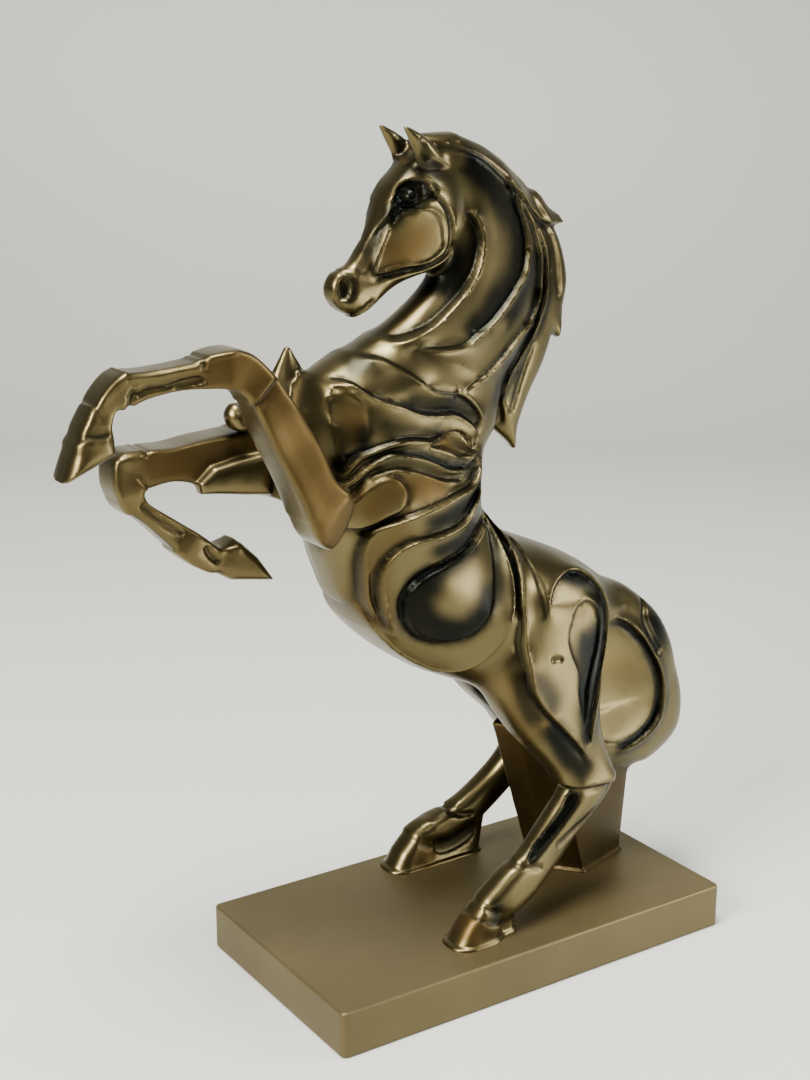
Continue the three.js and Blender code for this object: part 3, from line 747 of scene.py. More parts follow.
    def regions(self, points: np.ndarray) -> np.ndarray:
        """The number of the region that each point belongs to.

        Args:
            points: one place to a row.

        Returns:
            The region's value at each.
        """
        limit = np.array(self.gap.shape[::-1]) - 1
        i, j, k = np.clip(np.rint((points - self.low) / self.cell).astype(int), 0, limit).T
        return self.owner[k, j, i]

    def skin(self) -> tuple[np.ndarray, np.ndarray]:
        """Surface nets: a vertex in each cell, and a quad for each grid edge, that the skin crosses.

        Returns:
            The vertices, one to a row, and the quads' corners, one quad to a row.
        """
        inside = self.gap < 0
        nz, ny, nx = self.gap.shape
        corners = [(c & 1, c >> 1 & 1, c >> 2) for c in range(8)]
        count = np.zeros((nz - 1, ny - 1, nx - 1), np.uint8)
        for a, b, c in corners:
            count += inside[c : nz - 1 + c, b : ny - 1 + b, a : nx - 1 + a]
        k, j, i = np.nonzero((count > 0) & (count < 8))
        values = np.stack([self.gap[k + c, j + b, i + a] for a, b, c in corners], 1)
        total = np.zeros((len(k), 3))
        hits = np.zeros(len(k))
        for p in range(8):
            for bit in (1, 2, 4):
                q = p | bit
                if q == p:
                    continue
                crossed = (values[:, p] < 0) != (values[:, q] < 0)
                share = values[crossed, p] / (values[crossed, p] - values[crossed, q])
                start, end = np.array(corners[p]), np.array(corners[q])
                total[crossed] += start + share[:, None] * (end - start)
                hits[crossed] += 1
        vertices = self.low + self.cell * (np.stack([i, j, k], 1) + total / hits[:, None])
        number = np.full(count.shape, -1, np.int32)
        number[k, j, i] = np.arange(len(k))
        quads = [self.quads(inside, number, axis) for axis in range(3)]
        return vertices, np.vstack(quads)

    def quads(self, inside: np.ndarray, number: np.ndarray, axis: int) -> np.ndarray:
        """The quads across the grid edges that run along one axis.

        Args:
            inside: which grid points are inside the skin.
            number: each cell's vertex.
            axis: 0 for x, 1 for y, 2 for z.

        Returns:
            The quads' corners, facing outwards.
        """
        dims = 2 - axis
        here = np.take(inside, range(inside.shape[dims] - 1), dims)
        ahead = np.take(inside, range(1, inside.shape[dims]), dims)
        k, j, i = np.nonzero(here != ahead)
        starts_inside = here[k, j, i]
        steps = {0: ((1, 1, 0), (1, 0, 0), (0, 0, 0), (0, 1, 0)),
                 1: ((1, 0, 1), (0, 0, 1), (0, 0, 0), (1, 0, 0)),
                 2: ((0, 1, 1), (0, 1, 0), (0, 0, 0), (0, 0, 1))}[axis]
        found = [number[k - c, j - b, i - a] for c, b, a in steps]
        quads = np.stack(found, 1)
        quads[~starts_inside] = quads[~starts_inside][:, ::-1]
        return quads


def fold(
    points: list[Point], height: float, width: float, groove: float = 1.2, rim: float = 0.4,
    dark: float = 5.0,
) -> Cut:
    """A lip on the left of a line, falling away over a width, airbrushed along its foot."""
    return Cut(Mark.FOLD, tuple(points), height, width, groove, rim, dark)


def pad(points: list[Point], height: float, width: float, groove: float = 1.0, dark: float = 2.5) -> Cut:
    """An outline that swells, or sinks where its height is negative."""
    return Cut(Mark.PAD, tuple(points), height, width, groove, dark=dark)


def furrow(points: list[Point], depth: float, width: float, dark: float = 2.5) -> Cut:
    """A groove along a line."""
    return Cut(Mark.GROOVE, tuple(points), depth, width, dark=dark)


def airbrush_and_shade(points: list[Point], width: float, strength: float = 1.0) -> Cut:
    """A dark stroke with no relief: airbrushed patina, and painted shade under the jaw and on the shoulder.
    """
    return Cut(Mark.BRUSH, tuple(points), 0.0, width, dark=strength)


def warm(points: list[Point], width: float, strength: float = 1.0) -> Cut:
    """A wash of browner gold, with no relief."""
    return Cut(Mark.WASH, tuple(points), 0.0, width, dark=strength)


NECK_LINES: list[Cut] = [
    fold([(-14, 334), (-10, 328), (-8, 321), (-9, 313), (-11, 307), (-15, 301), (-20, 296), (-29, 289),
         (-36, 285), (-45, 282), (-57, 279)], 2.4, 12, 1.8, 0.5, 4),
    fold([(10, 341), (13, 333), (16, 324), (17, 315), (15, 306), (9, 298), (2, 291), (-5, 285), (-14, 280),
         (-19, 277), (-28, 276), (-44, 277)], 2.4, 9, 1.8, 0.8, 4),
    fold([(10, 341), (17, 331), (24, 322), (28, 313), (29, 304), (29, 294), (24, 285), (15, 279), (8, 274),
         (0, 268), (-11, 262), (-26, 256)], 2.2, 8, 1.6, 0.6, 3.5),
    fold([(21, 329), (28, 320), (32, 312), (33, 303), (32, 294), (29, 285), (25, 276), (18, 268), (9, 260),
         (7, 252), (11, 242), (14, 232)], 1.6, 6, 1.5, 0.4, 3.5),
    furrow([(-32, 362), (-17, 359), (-8, 356), (2, 349), (10, 342)], 0.8, 2, 2),
    fold([(6, 346), (13, 340), (21, 333), (32, 326), (50, 324)], 1.8, 8, 1.8, 0.3, 5),
    airbrush_and_shade([(8, 346), (10, 336), (12, 326), (13, 316), (12, 306), (5, 299), (-3, 292), (-10, 286),
          (-20, 280)], 9),
    airbrush_and_shade([(22, 318), (21, 306), (16, 297), (10, 289), (2, 284)], 7, 0.95),
    airbrush_and_shade([(30, 316), (31, 300), (27, 281), (17, 271), (11, 264), (5, 257), (3, 250), (2, 244)], 9),
    airbrush_and_shade([(21, 265), (17, 255), (15, 246)], 4, 0.8),
    airbrush_and_shade([(-17, 357), (-11, 353), (-5, 347), (1, 341), (7, 334), (12, 327)], 9, 1.0),
    airbrush_and_shade([(-36, 354), (-29, 351), (-23, 345), (-19, 338), (-17, 331)], 7, 0.85),
]

CARVING: dict[Region, list[Cut]] = {
    Region.BODY: [
        *NECK_LINES,
        # Painted shade under the jaw, on the throat
        airbrush_and_shade([(-28, 298), (-22, 303), (-18, 310), (-16, 318)], 6),
        airbrush_and_shade([(-11, 334), (-9, 325), (-11, 314), (-16, 304), (-23, 297)], 6, 0.9),
        fold([(-69, 275), (-61, 274), (-56, 271), (-50, 267), (-45, 263), (-39, 259), (-33, 257),
             (-26, 256)][::-1], 1.1, 9, 0.4, 0, 1.2),
        fold([(-28, 257), (-22, 254), (-15, 248), (-11, 242)], 1.5, 6, dark=2),
        airbrush_and_shade([(-56, 258), (-44, 253), (-32, 252), (-21, 249), (-14, 243)], 7, 0.9),
        airbrush_and_shade([(2, 272), (5, 264), (7, 253), (4, 245)], 5, 0.9),
        airbrush_and_shade([(-74, 270), (-68, 271), (-63, 270)], 5, 0.7),
        fold([(-27, 226), (-19, 229), (-14, 233), (-15, 239), (-20, 244), (-28, 248), (-38, 249),
             (-48, 251), (-57, 255), (-66, 258), (-73, 262), (-78, 266), (-86, 266)], 2.2, 8, 2.2, 0.6, 3),
        pad([(-84, 264), (-80, 263), (-76, 259), (-74, 254), (-74, 248), (-75, 243), (-77, 238), (-81, 235),
            (-84, 237), (-85, 244), (-86, 251), (-86, 259)], -1.2, 6, 0.1, 0.8),
        # Painted shadow in a band across the lower shoulder
        airbrush_and_shade([(-70, 249), (-57, 245), (-44, 242), (-34, 243)], 5, 0.8),
        airbrush_and_shade([(-76, 250), (-76, 242), (-74, 237)], 4.5, 0.95),
        airbrush_and_shade([(-87, 229), (-85, 234), (-80, 236), (-73, 239)], 3.2, 1.0),
        airbrush_and_shade([(-74, 232), (-66, 235), (-58, 235), (-50, 233), (-42, 229), (-30, 226), (-20, 225)], 6,
              0.92),
        airbrush_and_shade([(-70, 239), (-60, 241), (-50, 240), (-42, 239)], 3, 0.9),
        warm([(-80, 258), (-79, 248), (-80, 240)], 7),
        fold([(-33, 241), (-43, 239), (-49, 240), (-57, 241), (-66, 240), (-73, 238), (-78, 236),
             (-82, 232), (-86, 226)], 2, 4, 2, 0.4, 2.5),
        pad([(-45, 237), (-40, 239), (-32, 241), (-25, 240), (-21, 237), (-20, 232), (-28, 230),
            (-36, 234)], -2.6, 4, 0.4, 1.5),
        warm([(-40, 238), (-30, 237)], 6),
        airbrush_and_shade([(-15, 244), (-15, 237), (-17, 230), (-23, 227), (-32, 227)], 4, 0.9),
        fold([(-24, 225), (-36, 226), (-44, 230), (-51, 233), (-59, 235), (-65, 236), (-71, 234),
             (-76, 231), (-81, 226), (-88, 222)], 1.8, 4, 2, 0.4, 2.6),
        airbrush_and_shade([(-26, 227), (-38, 229), (-48, 234), (-58, 237), (-68, 236)], 2.6, 0.9),
        fold([(-28, 220), (-41, 222), (-48, 225), (-56, 228), (-62, 229), (-70, 228), (-75, 226),
             (-82, 218)], 1.6, 5, 1.8, 0.3, 2.2),
        pad([(-83, 204), (-88, 212), (-81, 219), (-76, 224), (-69, 227), (-63, 226), (-59, 221), (-59, 216),
            (-62, 211), (-68, 208), (-75, 204)], 2, 7, 1.4, 1.6),
        warm([(-79, 208), (-73, 216), (-65, 221), (-46, 219), (-38, 218)], 9),
        fold([(-14, 226), (-18, 221), (-23, 217), (-33, 215), (-44, 212), (-53, 210), (-61, 208),
             (-69, 206), (-75, 203), (-77, 197), (-77, 189), (-75, 179), (-72, 168), (-66, 156)], 2.6, 9, 2,
             0.6, 3.5),
        airbrush_and_shade([(-10, 222), (-16, 215), (-23, 211), (-32, 208), (-42, 205), (-53, 203)], 6.5, 1.0),
        fold([(-17, 218), (-20, 210), (-26, 204), (-33, 201), (-42, 199), (-50, 198), (-58, 197),
             (-65, 193), (-69, 187), (-70, 180), (-69, 172), (-66, 163), (-60, 153)], 2.6, 8, 2, 0.8, 3.5),
        airbrush_and_shade([(-10, 214), (-17, 205), (-23, 198), (-31, 194), (-40, 192), (-50, 191)], 5.5, 1.0),
        pad([(-12, 198), (-20, 194), (-29, 189), (-39, 186), (-48, 183), (-55, 179), (-59, 172), (-58, 163),
            (-54, 155), (-47, 149), (-36, 146), (-25, 148), (-18, 154), (-14, 164), (-12, 176), (-11, 188)],
            3, 12, 2.2, 2.5),
        airbrush_and_shade([(-44, 181), (-52, 178), (-55, 172), (-54, 164), (-48, 156), (-39, 152), (-28, 151),
              (-20, 156), (-16, 164), (-15, 176)], 10),
        airbrush_and_shade([(-20, 192), (-34, 186), (-46, 181), (-52, 174)], 6, 0.95),
        fold([(-76, 170), (-70, 158), (-58, 144), (-45, 134), (-32, 128), (-20, 129), (-10, 138), (-3, 152),
             (0, 165), (0, 178), (-4, 192), (-12, 206)], 2.4, 10, 2, 0.8, 3),
        airbrush_and_shade([(-10, 200), (-8, 190), (-8, 180), (-9, 170), (-12, 158)], 6, 0.9),
        fold([(-12, 207), (0, 193), (5, 184), (5, 171), (3, 161), (3, 150), (3, 139), (4, 128), (5, 118),
             (10, 109), (20, 98), (30, 87), (41, 73)], 2.4, 10, 2, 0.7, 4),
        airbrush_and_shade([(-10, 208), (-1, 198), (3, 188), (2, 174), (1, 160)], 6.5),
        fold([(9, 186), (13, 178), (14, 170), (14.5, 160), (14.5, 150)], 1, 8, 0.6, 0, 1.2),
        airbrush_and_shade([(6, 128), (9, 119), (14, 112), (20, 106)], 9, 0.85),
        airbrush_and_shade([(1, 128), (1, 118), (4, 108), (9, 100)], 6, 0.8),
        airbrush_and_shade([(14, 100), (22, 90), (31, 78), (40, 68)], 9, 1.0),
        airbrush_and_shade([(39, 144), (42, 132), (42, 118), (40, 105), (39, 90)], 9, 1.0),
        warm([(-58, 204), (-70, 196), (-73, 182), (-70, 168), (-64, 156)], 9, 0.7),
        airbrush_and_shade([(-78, 272), (-70, 272), (-64, 270)], 6, 0.9),
        fold([(16, 156), (19, 161), (26, 166), (35, 168), (43, 165), (49, 157), (53, 145), (52, 131),
             (48, 117), (43, 104), (40, 94), (38, 82)], 1.4, 7, 1.6, 0.4, 4),
        airbrush_and_shade([(27, 165), (35, 165), (42, 161), (47, 153), (49, 142), (48, 130), (45, 118), (41, 107),
              (38, 96), (37, 84)], 6, 1.0),
        pad([(29, 148), (32, 153), (38, 155), (43, 152), (46, 144), (45, 134), (42, 124), (38, 112),
            (36, 96), (32, 110), (32, 122), (28, 131), (26, 140)], -2.6, 5, 0.4, 2),
        airbrush_and_shade([(36, 141), (36, 132), (38, 122), (37, 110), (37, 96), (38, 84)], 8, 1.0),
        warm([(34, 152), (38, 148)], 5, 0.8),
        furrow([(15.5, 130.5), (19, 131), (22.5, 130)], 1.1, 1.6, 1.4),
        warm([(-4, 130), (4, 108), (16, 92)], 12, 0.6),
    ],
    Region.HEAD: [
        pad([(-49, 334), (-40, 335), (-31, 333), (-27, 325), (-27, 318), (-35, 312.5), (-46, 312),
            (-58, 309.5), (-55, 320), (-51, 328)], -1.2, 1.6, 0.2, 1),
        fold([(-51, 332), (-55, 323), (-59, 309), (-45, 310.5), (-32, 311.5), (-24, 317), (-23, 325),
             (-26, 334), (-32, 340), (-40, 336), (-50, 335)], 0.9, 3, 1.1, 0, 1.5),
        fold([(-36, 346), (-32, 342), (-25, 336), (-20, 327), (-19, 319), (-25, 313), (-34, 309.5),
             (-46, 307.5), (-61, 305)], 1, 4, 1.2, 0.2, 1.8),
        warm([(-33, 328), (-42, 320), (-54, 312)], 11),
        pad([(-47, 341), (-45.5, 343.5), (-43, 344.5), (-40.5, 343), (-39.8, 340.5), (-41, 338),
            (-44, 337.2), (-46.3, 338.5)], 2.4, 3.4, 1.6, 2),
        airbrush_and_shade([(-46, 341), (-43, 341), (-40, 341)], 6, 1.0),
        fold([(-51, 337), (-48.5, 341), (-46, 344.5), (-42, 346.8), (-37, 346.8), (-31, 345), (-28, 342)],
             0.9, 5, 1.2, 0.3, 2.2),
        furrow([(-48, 336), (-44, 335), (-39, 336), (-34, 339), (-29, 341)], 1, 2, 1.6),
        furrow([(-48, 336), (-52, 329), (-58, 321), (-63, 313), (-66, 309)], 0.9, 2.2, 2),
        airbrush_and_shade([(-40, 354), (-34, 351), (-26, 350)], 7, 0.9),
        airbrush_and_shade([(-30, 362), (-36, 356), (-41, 350), (-45, 345), (-50, 337), (-54, 330)], 9, 0.95),
        airbrush_and_shade([(-47, 341), (-41, 341), (-35, 343), (-29, 344)], 4.5, 0.95),
        airbrush_and_shade([(-50, 350), (-52, 341), (-56, 333), (-61, 325), (-65, 317)], 7, 0.9),
        airbrush_and_shade([(-30, 354), (-24, 348), (-18, 340), (-14, 332)], 6, 0.75),
        # Painted shade under the jaw, where the head overhangs the neck
        airbrush_and_shade([(-11, 334), (-11, 320), (-15, 312), (-24, 306)], 5, 0.8),
        pad([(-75.5, 302), (-75, 306), (-72.5, 308), (-70, 306), (-69.8, 302), (-71.5, 298.5),
            (-74.5, 298.5)], -2.6, 2.6, 0.2, 1.8),
        airbrush_and_shade([(-72.5, 305.5), (-72, 302), (-73, 299.5)], 3.6, 0.97),
        fold([(-73, 310.5), (-69.5, 309), (-67.5, 304), (-68.5, 299), (-71, 296.5)], 0.4, 4, 0.4, 0, 1),
        furrow([(-78, 297), (-74, 293), (-69, 291.5), (-64, 294), (-58, 298)], 1, 1.8, 1.6),
    ],
    Region.PLAIN: [
        furrow([(-38, 366), (-36.5, 360), (-33, 355), (-27, 351)], 0.6, 2.2, 2.5),
        airbrush_and_shade([(-40, 356), (-34, 353), (-26, 350)], 5, 0.8),
        warm([(-33, 352), (-26, 349)], 5),
    ],
    Region.MANE: [
        *NECK_LINES,
        furrow([(14, 347), (26, 333), (34, 322), (39, 312), (41, 300), (42, 290)], 1.2, 3, 2),
        furrow([(-24, 363), (-12, 360), (2, 353), (14, 343), (25, 331)], 1, 2.5, 1.5),
        furrow([(19, 334), (28, 324), (35, 313), (37, 302)], 1, 2.2, 1.8),
        furrow([(27, 274), (22, 262), (18, 250), (15, 240)], 0.8, 2, 1.5),
    ],
    Region.TAIL: [
        pad([(52, 130), (66, 133), (76, 131), (86, 124), (95, 115), (102, 104), (105, 93), (104, 80),
            (98, 72), (90, 68), (76, 68), (60, 76), (50, 88)], -5.5, 26, 0.6, 1.5),
        airbrush_and_shade([(70, 136), (80, 131), (90, 122), (98, 111), (104, 99), (106, 88), (104, 78), (98, 70),
              (88, 65), (76, 63)], 6.5, 1.0),
        fold([(50, 139), (66, 137), (80, 131), (90, 122), (98, 111), (104, 99), (106, 88), (104, 77),
             (98, 70), (88, 65), (76, 63)], 1.8, 6, 1.8, 0.2, 3),
        airbrush_and_shade([(99, 134), (102, 127), (104, 119), (106, 112)], 9, 1.0),
        furrow([(97, 139), (93, 131), (96, 121), (103, 110)], 1.4, 3, 2.5),
        airbrush_and_shade([(64, 104), (78, 100), (92, 98), (102, 98)], 5, 0.5),
        warm([(64, 110), (80, 106), (94, 102)], 10, 0.8),
    ],
    Region.LEFT_FORE: [
        fold([(-138, 288), (-148, 287), (-153, 286)], 0.9, 4, 0.8, 0.3, 0.2),
        fold([(-154, 283), (-165, 282), (-174, 281), (-185, 281)], 1, 5, 1, 0.4, 0.4),
        furrow([(-154, 285), (-171, 283.5), (-185, 283)], 0.8, 1.4, 1.1),
        furrow([(-153, 289), (-154, 281)], 1, 1.6, 1.2),
        fold([(-185, 282), (-188, 281), (-191, 279), (-194, 276), (-198, 271), (-202, 265), (-206, 258)],
             0.8, 5, 0.6, 0, 0.2),
        fold([(-136, 260), (-134, 266), (-130, 270), (-124, 276)], 0.7, 6, 0.8, 0, 1.2),
        pad([(-170, 276), (-166, 277.5), (-160, 278.6), (-155, 278.6), (-153, 276.4), (-159, 274.6),
            (-165, 274.4)], -1.6, 1.2, 0.2, 2),
        furrow([(-182, 273.5), (-177, 276), (-169, 276)], 0.8, 1.8, 1.4),
        furrow([(-184, 268), (-184, 273), (-182, 276)], 1.2, 1.8, 1.6),
        fold([(-193, 259), (-202, 259), (-208, 257)], 0.9, 5, 0.8, 0, 1.4),
        fold([(-135, 266), (-130, 255), (-124, 242), (-117, 228), (-114, 221), (-112, 214)], 1.1, 9, 0.6, 0,
             0.6),
        airbrush_and_shade([(-203, 250), (-204, 240), (-206, 230)], 7, 0.35),
    ],
    Region.RIGHT_FORE: [
        fold([(-106, 240), (-116, 239), (-125, 239), (-140, 238), (-154, 238)], 0.9, 5, 0.8, 0.3, 0.2),
        fold([(-154, 238), (-163, 237), (-168, 236), (-169, 231), (-169, 224), (-166, 217)], 0.8, 5, 0.6, 0,
             0.2),
        furrow([(-151, 242), (-154, 236)], 1, 1.6, 1.2),
        furrow([(-158, 217), (-152, 210), (-145, 205), (-138, 200)], 1.2, 2, 1.6),
        furrow([(-163, 213), (-155, 206), (-149, 200), (-142, 193)], 1.1, 1.9, 1.4),
        fold([(-110, 192), (-117, 192), (-123, 191)], 0.9, 4, 0.8, 0, 1.2),
        furrow([(-129, 194), (-127, 190), (-123, 186)], 1.1, 2, 1.8),
        airbrush_and_shade([(-112, 236), (-108, 226)], 5, 0.5),
    ],
    Region.LEFT_HIND: [
        fold([(20, 66), (28, 64.5), (36, 63.5), (47, 62.5), (58, 61)], 1.3, 8, 1.3, 0, 2.2),
        pad([(30, 61), (34, 61), (34, 57), (26, 49), (16, 41), (7, 35), (3, 33.5), (5, 37), (13, 44),
            (23, 53)], -1.4, 1.6, 0.2, 1.8),
        airbrush_and_shade([(33, 62), (29, 55), (20, 47), (10, 39), (3, 33)], 4.5),
        furrow([(54, 61), (50, 56), (43, 49), (30, 43), (18, 37)], 1, 2.4, 1.8),
        furrow([(-8, 35), (-2, 33), (4, 31.5), (11, 30)], 0.9, 2, 1.5),
        airbrush_and_shade([(-14, 21), (-16, 15), (-19, 10)], 5.5, 1.0),
        fold([(-12, 7.5), (-21, 9.5), (-26, 12.5), (-30, 14)], 1, 6, 0.9, 0, 1.6),
        airbrush_and_shade([(-10, 10), (-8, 3)], 4, 0.7),
        warm([(-22, 6), (-30, 8), (-34, 3)], 10),
        airbrush_and_shade([(-18, 5), (-28, 8)], 6, 0.4),
        airbrush_and_shade([(40, 50), (28, 40), (16, 32)], 5, 0.45),
    ],
    Region.RIGHT_HIND: [
        furrow([(18, 31), (15, 26), (19, 24), (28, 23)], 1.1, 2, 1.6),
        fold([(18, 25), (11, 24), (3, 22)], 0.9, 5, 0.6, 0, 0.8),
        furrow([(-5, 13), (-2, 11.5), (3, 9)], 0.5, 2, 1.8),
        warm([(-8, 8), (-2, 5), (6, 4)], 10),
        airbrush_and_shade([(-8, 7), (-1, 4)], 6, 0.5),
        pad([(4, 14), (8, 14), (13, 12), (20, 15), (28, 18), (30, 10), (20, 5), (6, 5)], -1.6, 2.5, 0.4, 2),
        airbrush_and_shade([(6, 10), (16, 10), (28, 14)], 6, 0.85),
        airbrush_and_shade([(34, 50), (26, 40), (20, 32)], 5, 0.4),
    ],
    Region.POST: [
        airbrush_and_shade([(50, 0), (58, 40), (66, 80)], 60, 0.55),
        airbrush_and_shade([(50, 2), (70, 2), (96, 2)], 7, 0.5),
    ],
}


# Finishes


def linear(code: str) -> tuple[float, float, float, float]:
    """An sRGB hex colour as linear values with full alpha.

    Args:
        code: six hex digits.

    Returns:
        Red, green, blue and alpha.
    """
    shares = [int(code[i : i + 2], 16) / 255 for i in (0, 2, 4)]
    values = [s / 12.92 if s <= 0.04045 else ((s + 0.055) / 1.055) ** 2.4 for s in shares]
    return (*values, 1.0)


def node(
    tree: bpy.types.NodeTree, kind: str, settings: dict | None = None, **inputs: object
) -> bpy.types.Node:
    """Adds a node with its settings and inputs.

    A Mix node of colours has its share at i0, its two colours at i6 and i7, and gives its third output.

    Args:
        tree: the node tree.
        kind: the node's type, without "ShaderNode".
        settings: the node's own properties.
        inputs: values or sockets by input name, with _ for a space, or i and a number for an unnamed one.

    Returns:
        The new node.
    """
    made = tree.nodes.new("ShaderNode" + kind)
    for name, value in (settings or {}).items():
        setattr(made, name, value)
    for name, value in inputs.items():
        plain = name.replace("_", " ")
        socket = made.inputs[int(name[1:])] if name[0] == "i" and name[1:].isdigit() else made.inputs[plain]
        if isinstance(value, bpy.types.NodeSocket):
            tree.links.new(value, socket)
        else:
            socket.default_value = value
    return made


def new_material(name: str) -> tuple[bpy.types.Material, bpy.types.NodeTree, bpy.types.Node]:
    """An empty node material.

    Args:
        name: what the real material is.

    Returns:
        The material, its tree and its output node.
    """
    material = bpy.data.materials.new(name)
    material.use_nodes = True
    tree = material.node_tree
    tree.nodes.clear()
    return material, tree, tree.nodes.new("ShaderNodeOutputMaterial")


@dataclass(frozen=True)
class PatinatedBronze:
    """Cold-cast bronze, polished on its swells and airbrushed greenish black along its edges and hollows,
    with painted shade in a few dark strokes.

    To the eye it is a warm grey-gold metal with soft wide highlights, which turn to near black in creases.
    """

    gold: str = "615739"
    brown: str = "514123"
    dark: str = "080b09"
    roughness: float = 0.32
    dark_roughness: float = 0.38
    brown_roughness: float = 0.12
    lacquer: float = 0.06
    lacquer_roughness: float = 0.22
    # Soft clouds in the patina, and how much barer or darker they make it
    clouds_mm: float = 25.0
    uneven: tuple[float, float] = (-0.03, 0.05)
    # The grain of the cast skin is too fine to show in a render, so it is drawn at 0.7 mm
    grain_mm: float = 0.7
    grain_depth_mm: float = 0.1
    grain_strength: float = 0.22

    def build(self) -> bpy.types.Material:
        """Makes the material, which reads how dark and how brown it is from the skin's attributes.

        Returns:
            The material.
        """
        material, tree, output = new_material("patinated cold-cast bronze")
        place = node(tree, "TexCoord").outputs["Object"]
        patina_and_shade = node(tree, "Attribute", {"attribute_name": "patina_and_shade"}).outputs["Fac"]
        tone = node(tree, "Attribute", {"attribute_name": "tone"}).outputs["Fac"]
        clouds = node(tree, "TexNoise", Vector=place, Scale=1 / (self.clouds_mm * MM), Detail=3.0)
        uneven = node(
            tree, "MapRange", Value=clouds.outputs["Fac"], From_Min=NOISE_RANGE[0], From_Max=NOISE_RANGE[1],
            To_Min=self.uneven[0], To_Max=self.uneven[1],
        )
        gold, brown, dark = linear(self.gold), linear(self.brown), linear(self.dark)
        metal = node(tree, "Mix", {"data_type": "RGBA"}, i0=tone, i6=gold, i7=brown)
        shade = node(tree, "Math", {"operation": "ADD", "use_clamp": True}, i0=patina_and_shade, i1=uneven.outputs[0])
        colour = node(
            tree, "Mix", {"data_type": "RGBA"}, i0=shade.outputs[0], i6=metal.outputs[2], i7=dark
        )
        rough = node(
            tree, "MapRange", Value=shade.outputs[0], To_Min=self.roughness, To_Max=self.dark_roughness
        )
        duller = node(
            tree, "Math", {"operation": "MULTIPLY_ADD"}, i0=tone, i1=self.brown_roughness,
            i2=rough.outputs[0],
        )
        grain = node(tree, "TexNoise", Vector=place, Scale=1 / (self.grain_mm * MM), Detail=2.0)
        bump = node(
            tree, "Bump", Strength=self.grain_strength, Distance=self.grain_depth_mm * MM,
            Height=grain.outputs["Fac"],
        )
        shader = node(
            tree, "BsdfPrincipled", Base_Color=colour.outputs[2], Metallic=1.0, Roughness=duller.outputs[0],
            Normal=bump.outputs[0], Coat_Weight=self.lacquer, Coat_Roughness=self.lacquer_roughness,
        )
        tree.links.new(shader.outputs[0], output.inputs[0])
        return material


@dataclass(frozen=True)
class PlinthPaint:
    """Olive-bronze metallic paint on cast resin, sprayed, with the fine orange peel of a single coat.

    To the eye it is a dull brownish gold with a broad faint sheen.
    """

    colour: str = "4f452c"
    worn: str = "655a3b"
    metallic: float = 0.75
    roughness: float = 0.46
    clouds_mm: float = 40.0
    # Orange peel has its bumps a millimetre or two apart
    peel_mm: float = 1.6
    peel_depth_mm: float = 0.2
    peel_strength: float = 0.35

    def build(self) -> bpy.types.Material:
        """Makes the material.

        Returns:
            The material.
        """
        material, tree, output = new_material("olive-bronze metallic paint")
        place = node(tree, "TexCoord").outputs["Object"]
        clouds = node(tree, "TexNoise", Vector=place, Scale=1 / (self.clouds_mm * MM), Detail=4.0)
        mixed = node(
            tree, "Mix", {"data_type": "RGBA"}, i0=clouds.outputs["Fac"], i6=linear(self.colour),
            i7=linear(self.worn),
        )
        peel = node(tree, "TexNoise", Vector=place, Scale=1 / (self.peel_mm * MM), Detail=2.0)
        bump = node(
            tree, "Bump", Strength=self.peel_strength, Distance=self.peel_depth_mm * MM,
            Height=peel.outputs["Fac"],
        )
        shader = node(
            tree, "BsdfPrincipled", Base_Color=mixed.outputs[2], Metallic=self.metallic,
            Roughness=self.roughness, Normal=bump.outputs[0],
        )
        tree.links.new(shader.outputs[0], output.inputs[0])
        return material


# Pieces


def put(name: str, data: bpy.types.ID) -> bpy.types.Object:
    """Adds an object to the scene.

    Args:
        name: its name.
        data: its mesh, light or camera.

    Returns:
        The object.
    """
    made = bpy.data.objects.new(name, data)
    bpy.context.scene.collection.objects.link(made)
    return made


def mesh_object(name: str, vertices: np.ndarray, faces: np.ndarray) -> bpy.types.Object:
    """A smooth-shaded mesh object.

    Args:
        name: the piece's name.
        vertices: its points in metres, one to a row.
        faces: its faces' corners, one face to a row.

    Returns:
        The object, linked to the scene.
    """
    mesh = bpy.data.meshes.new(name)
    count, size = faces.shape
    mesh.vertices.add(len(vertices))
    mesh.vertices.foreach_set("co", vertices.astype(np.float32).ravel())
    mesh.loops.add(count * size)
    mesh.loops.foreach_set("vertex_index", faces.astype(np.int32).ravel())
    mesh.polygons.add(count)
    mesh.polygons.foreach_set("loop_start", np.arange(0, count * size, size, dtype=np.int32))
    mesh.update(calc_edges=True)
    mesh.validate()
    mesh.shade_smooth()
    return put(name, mesh)


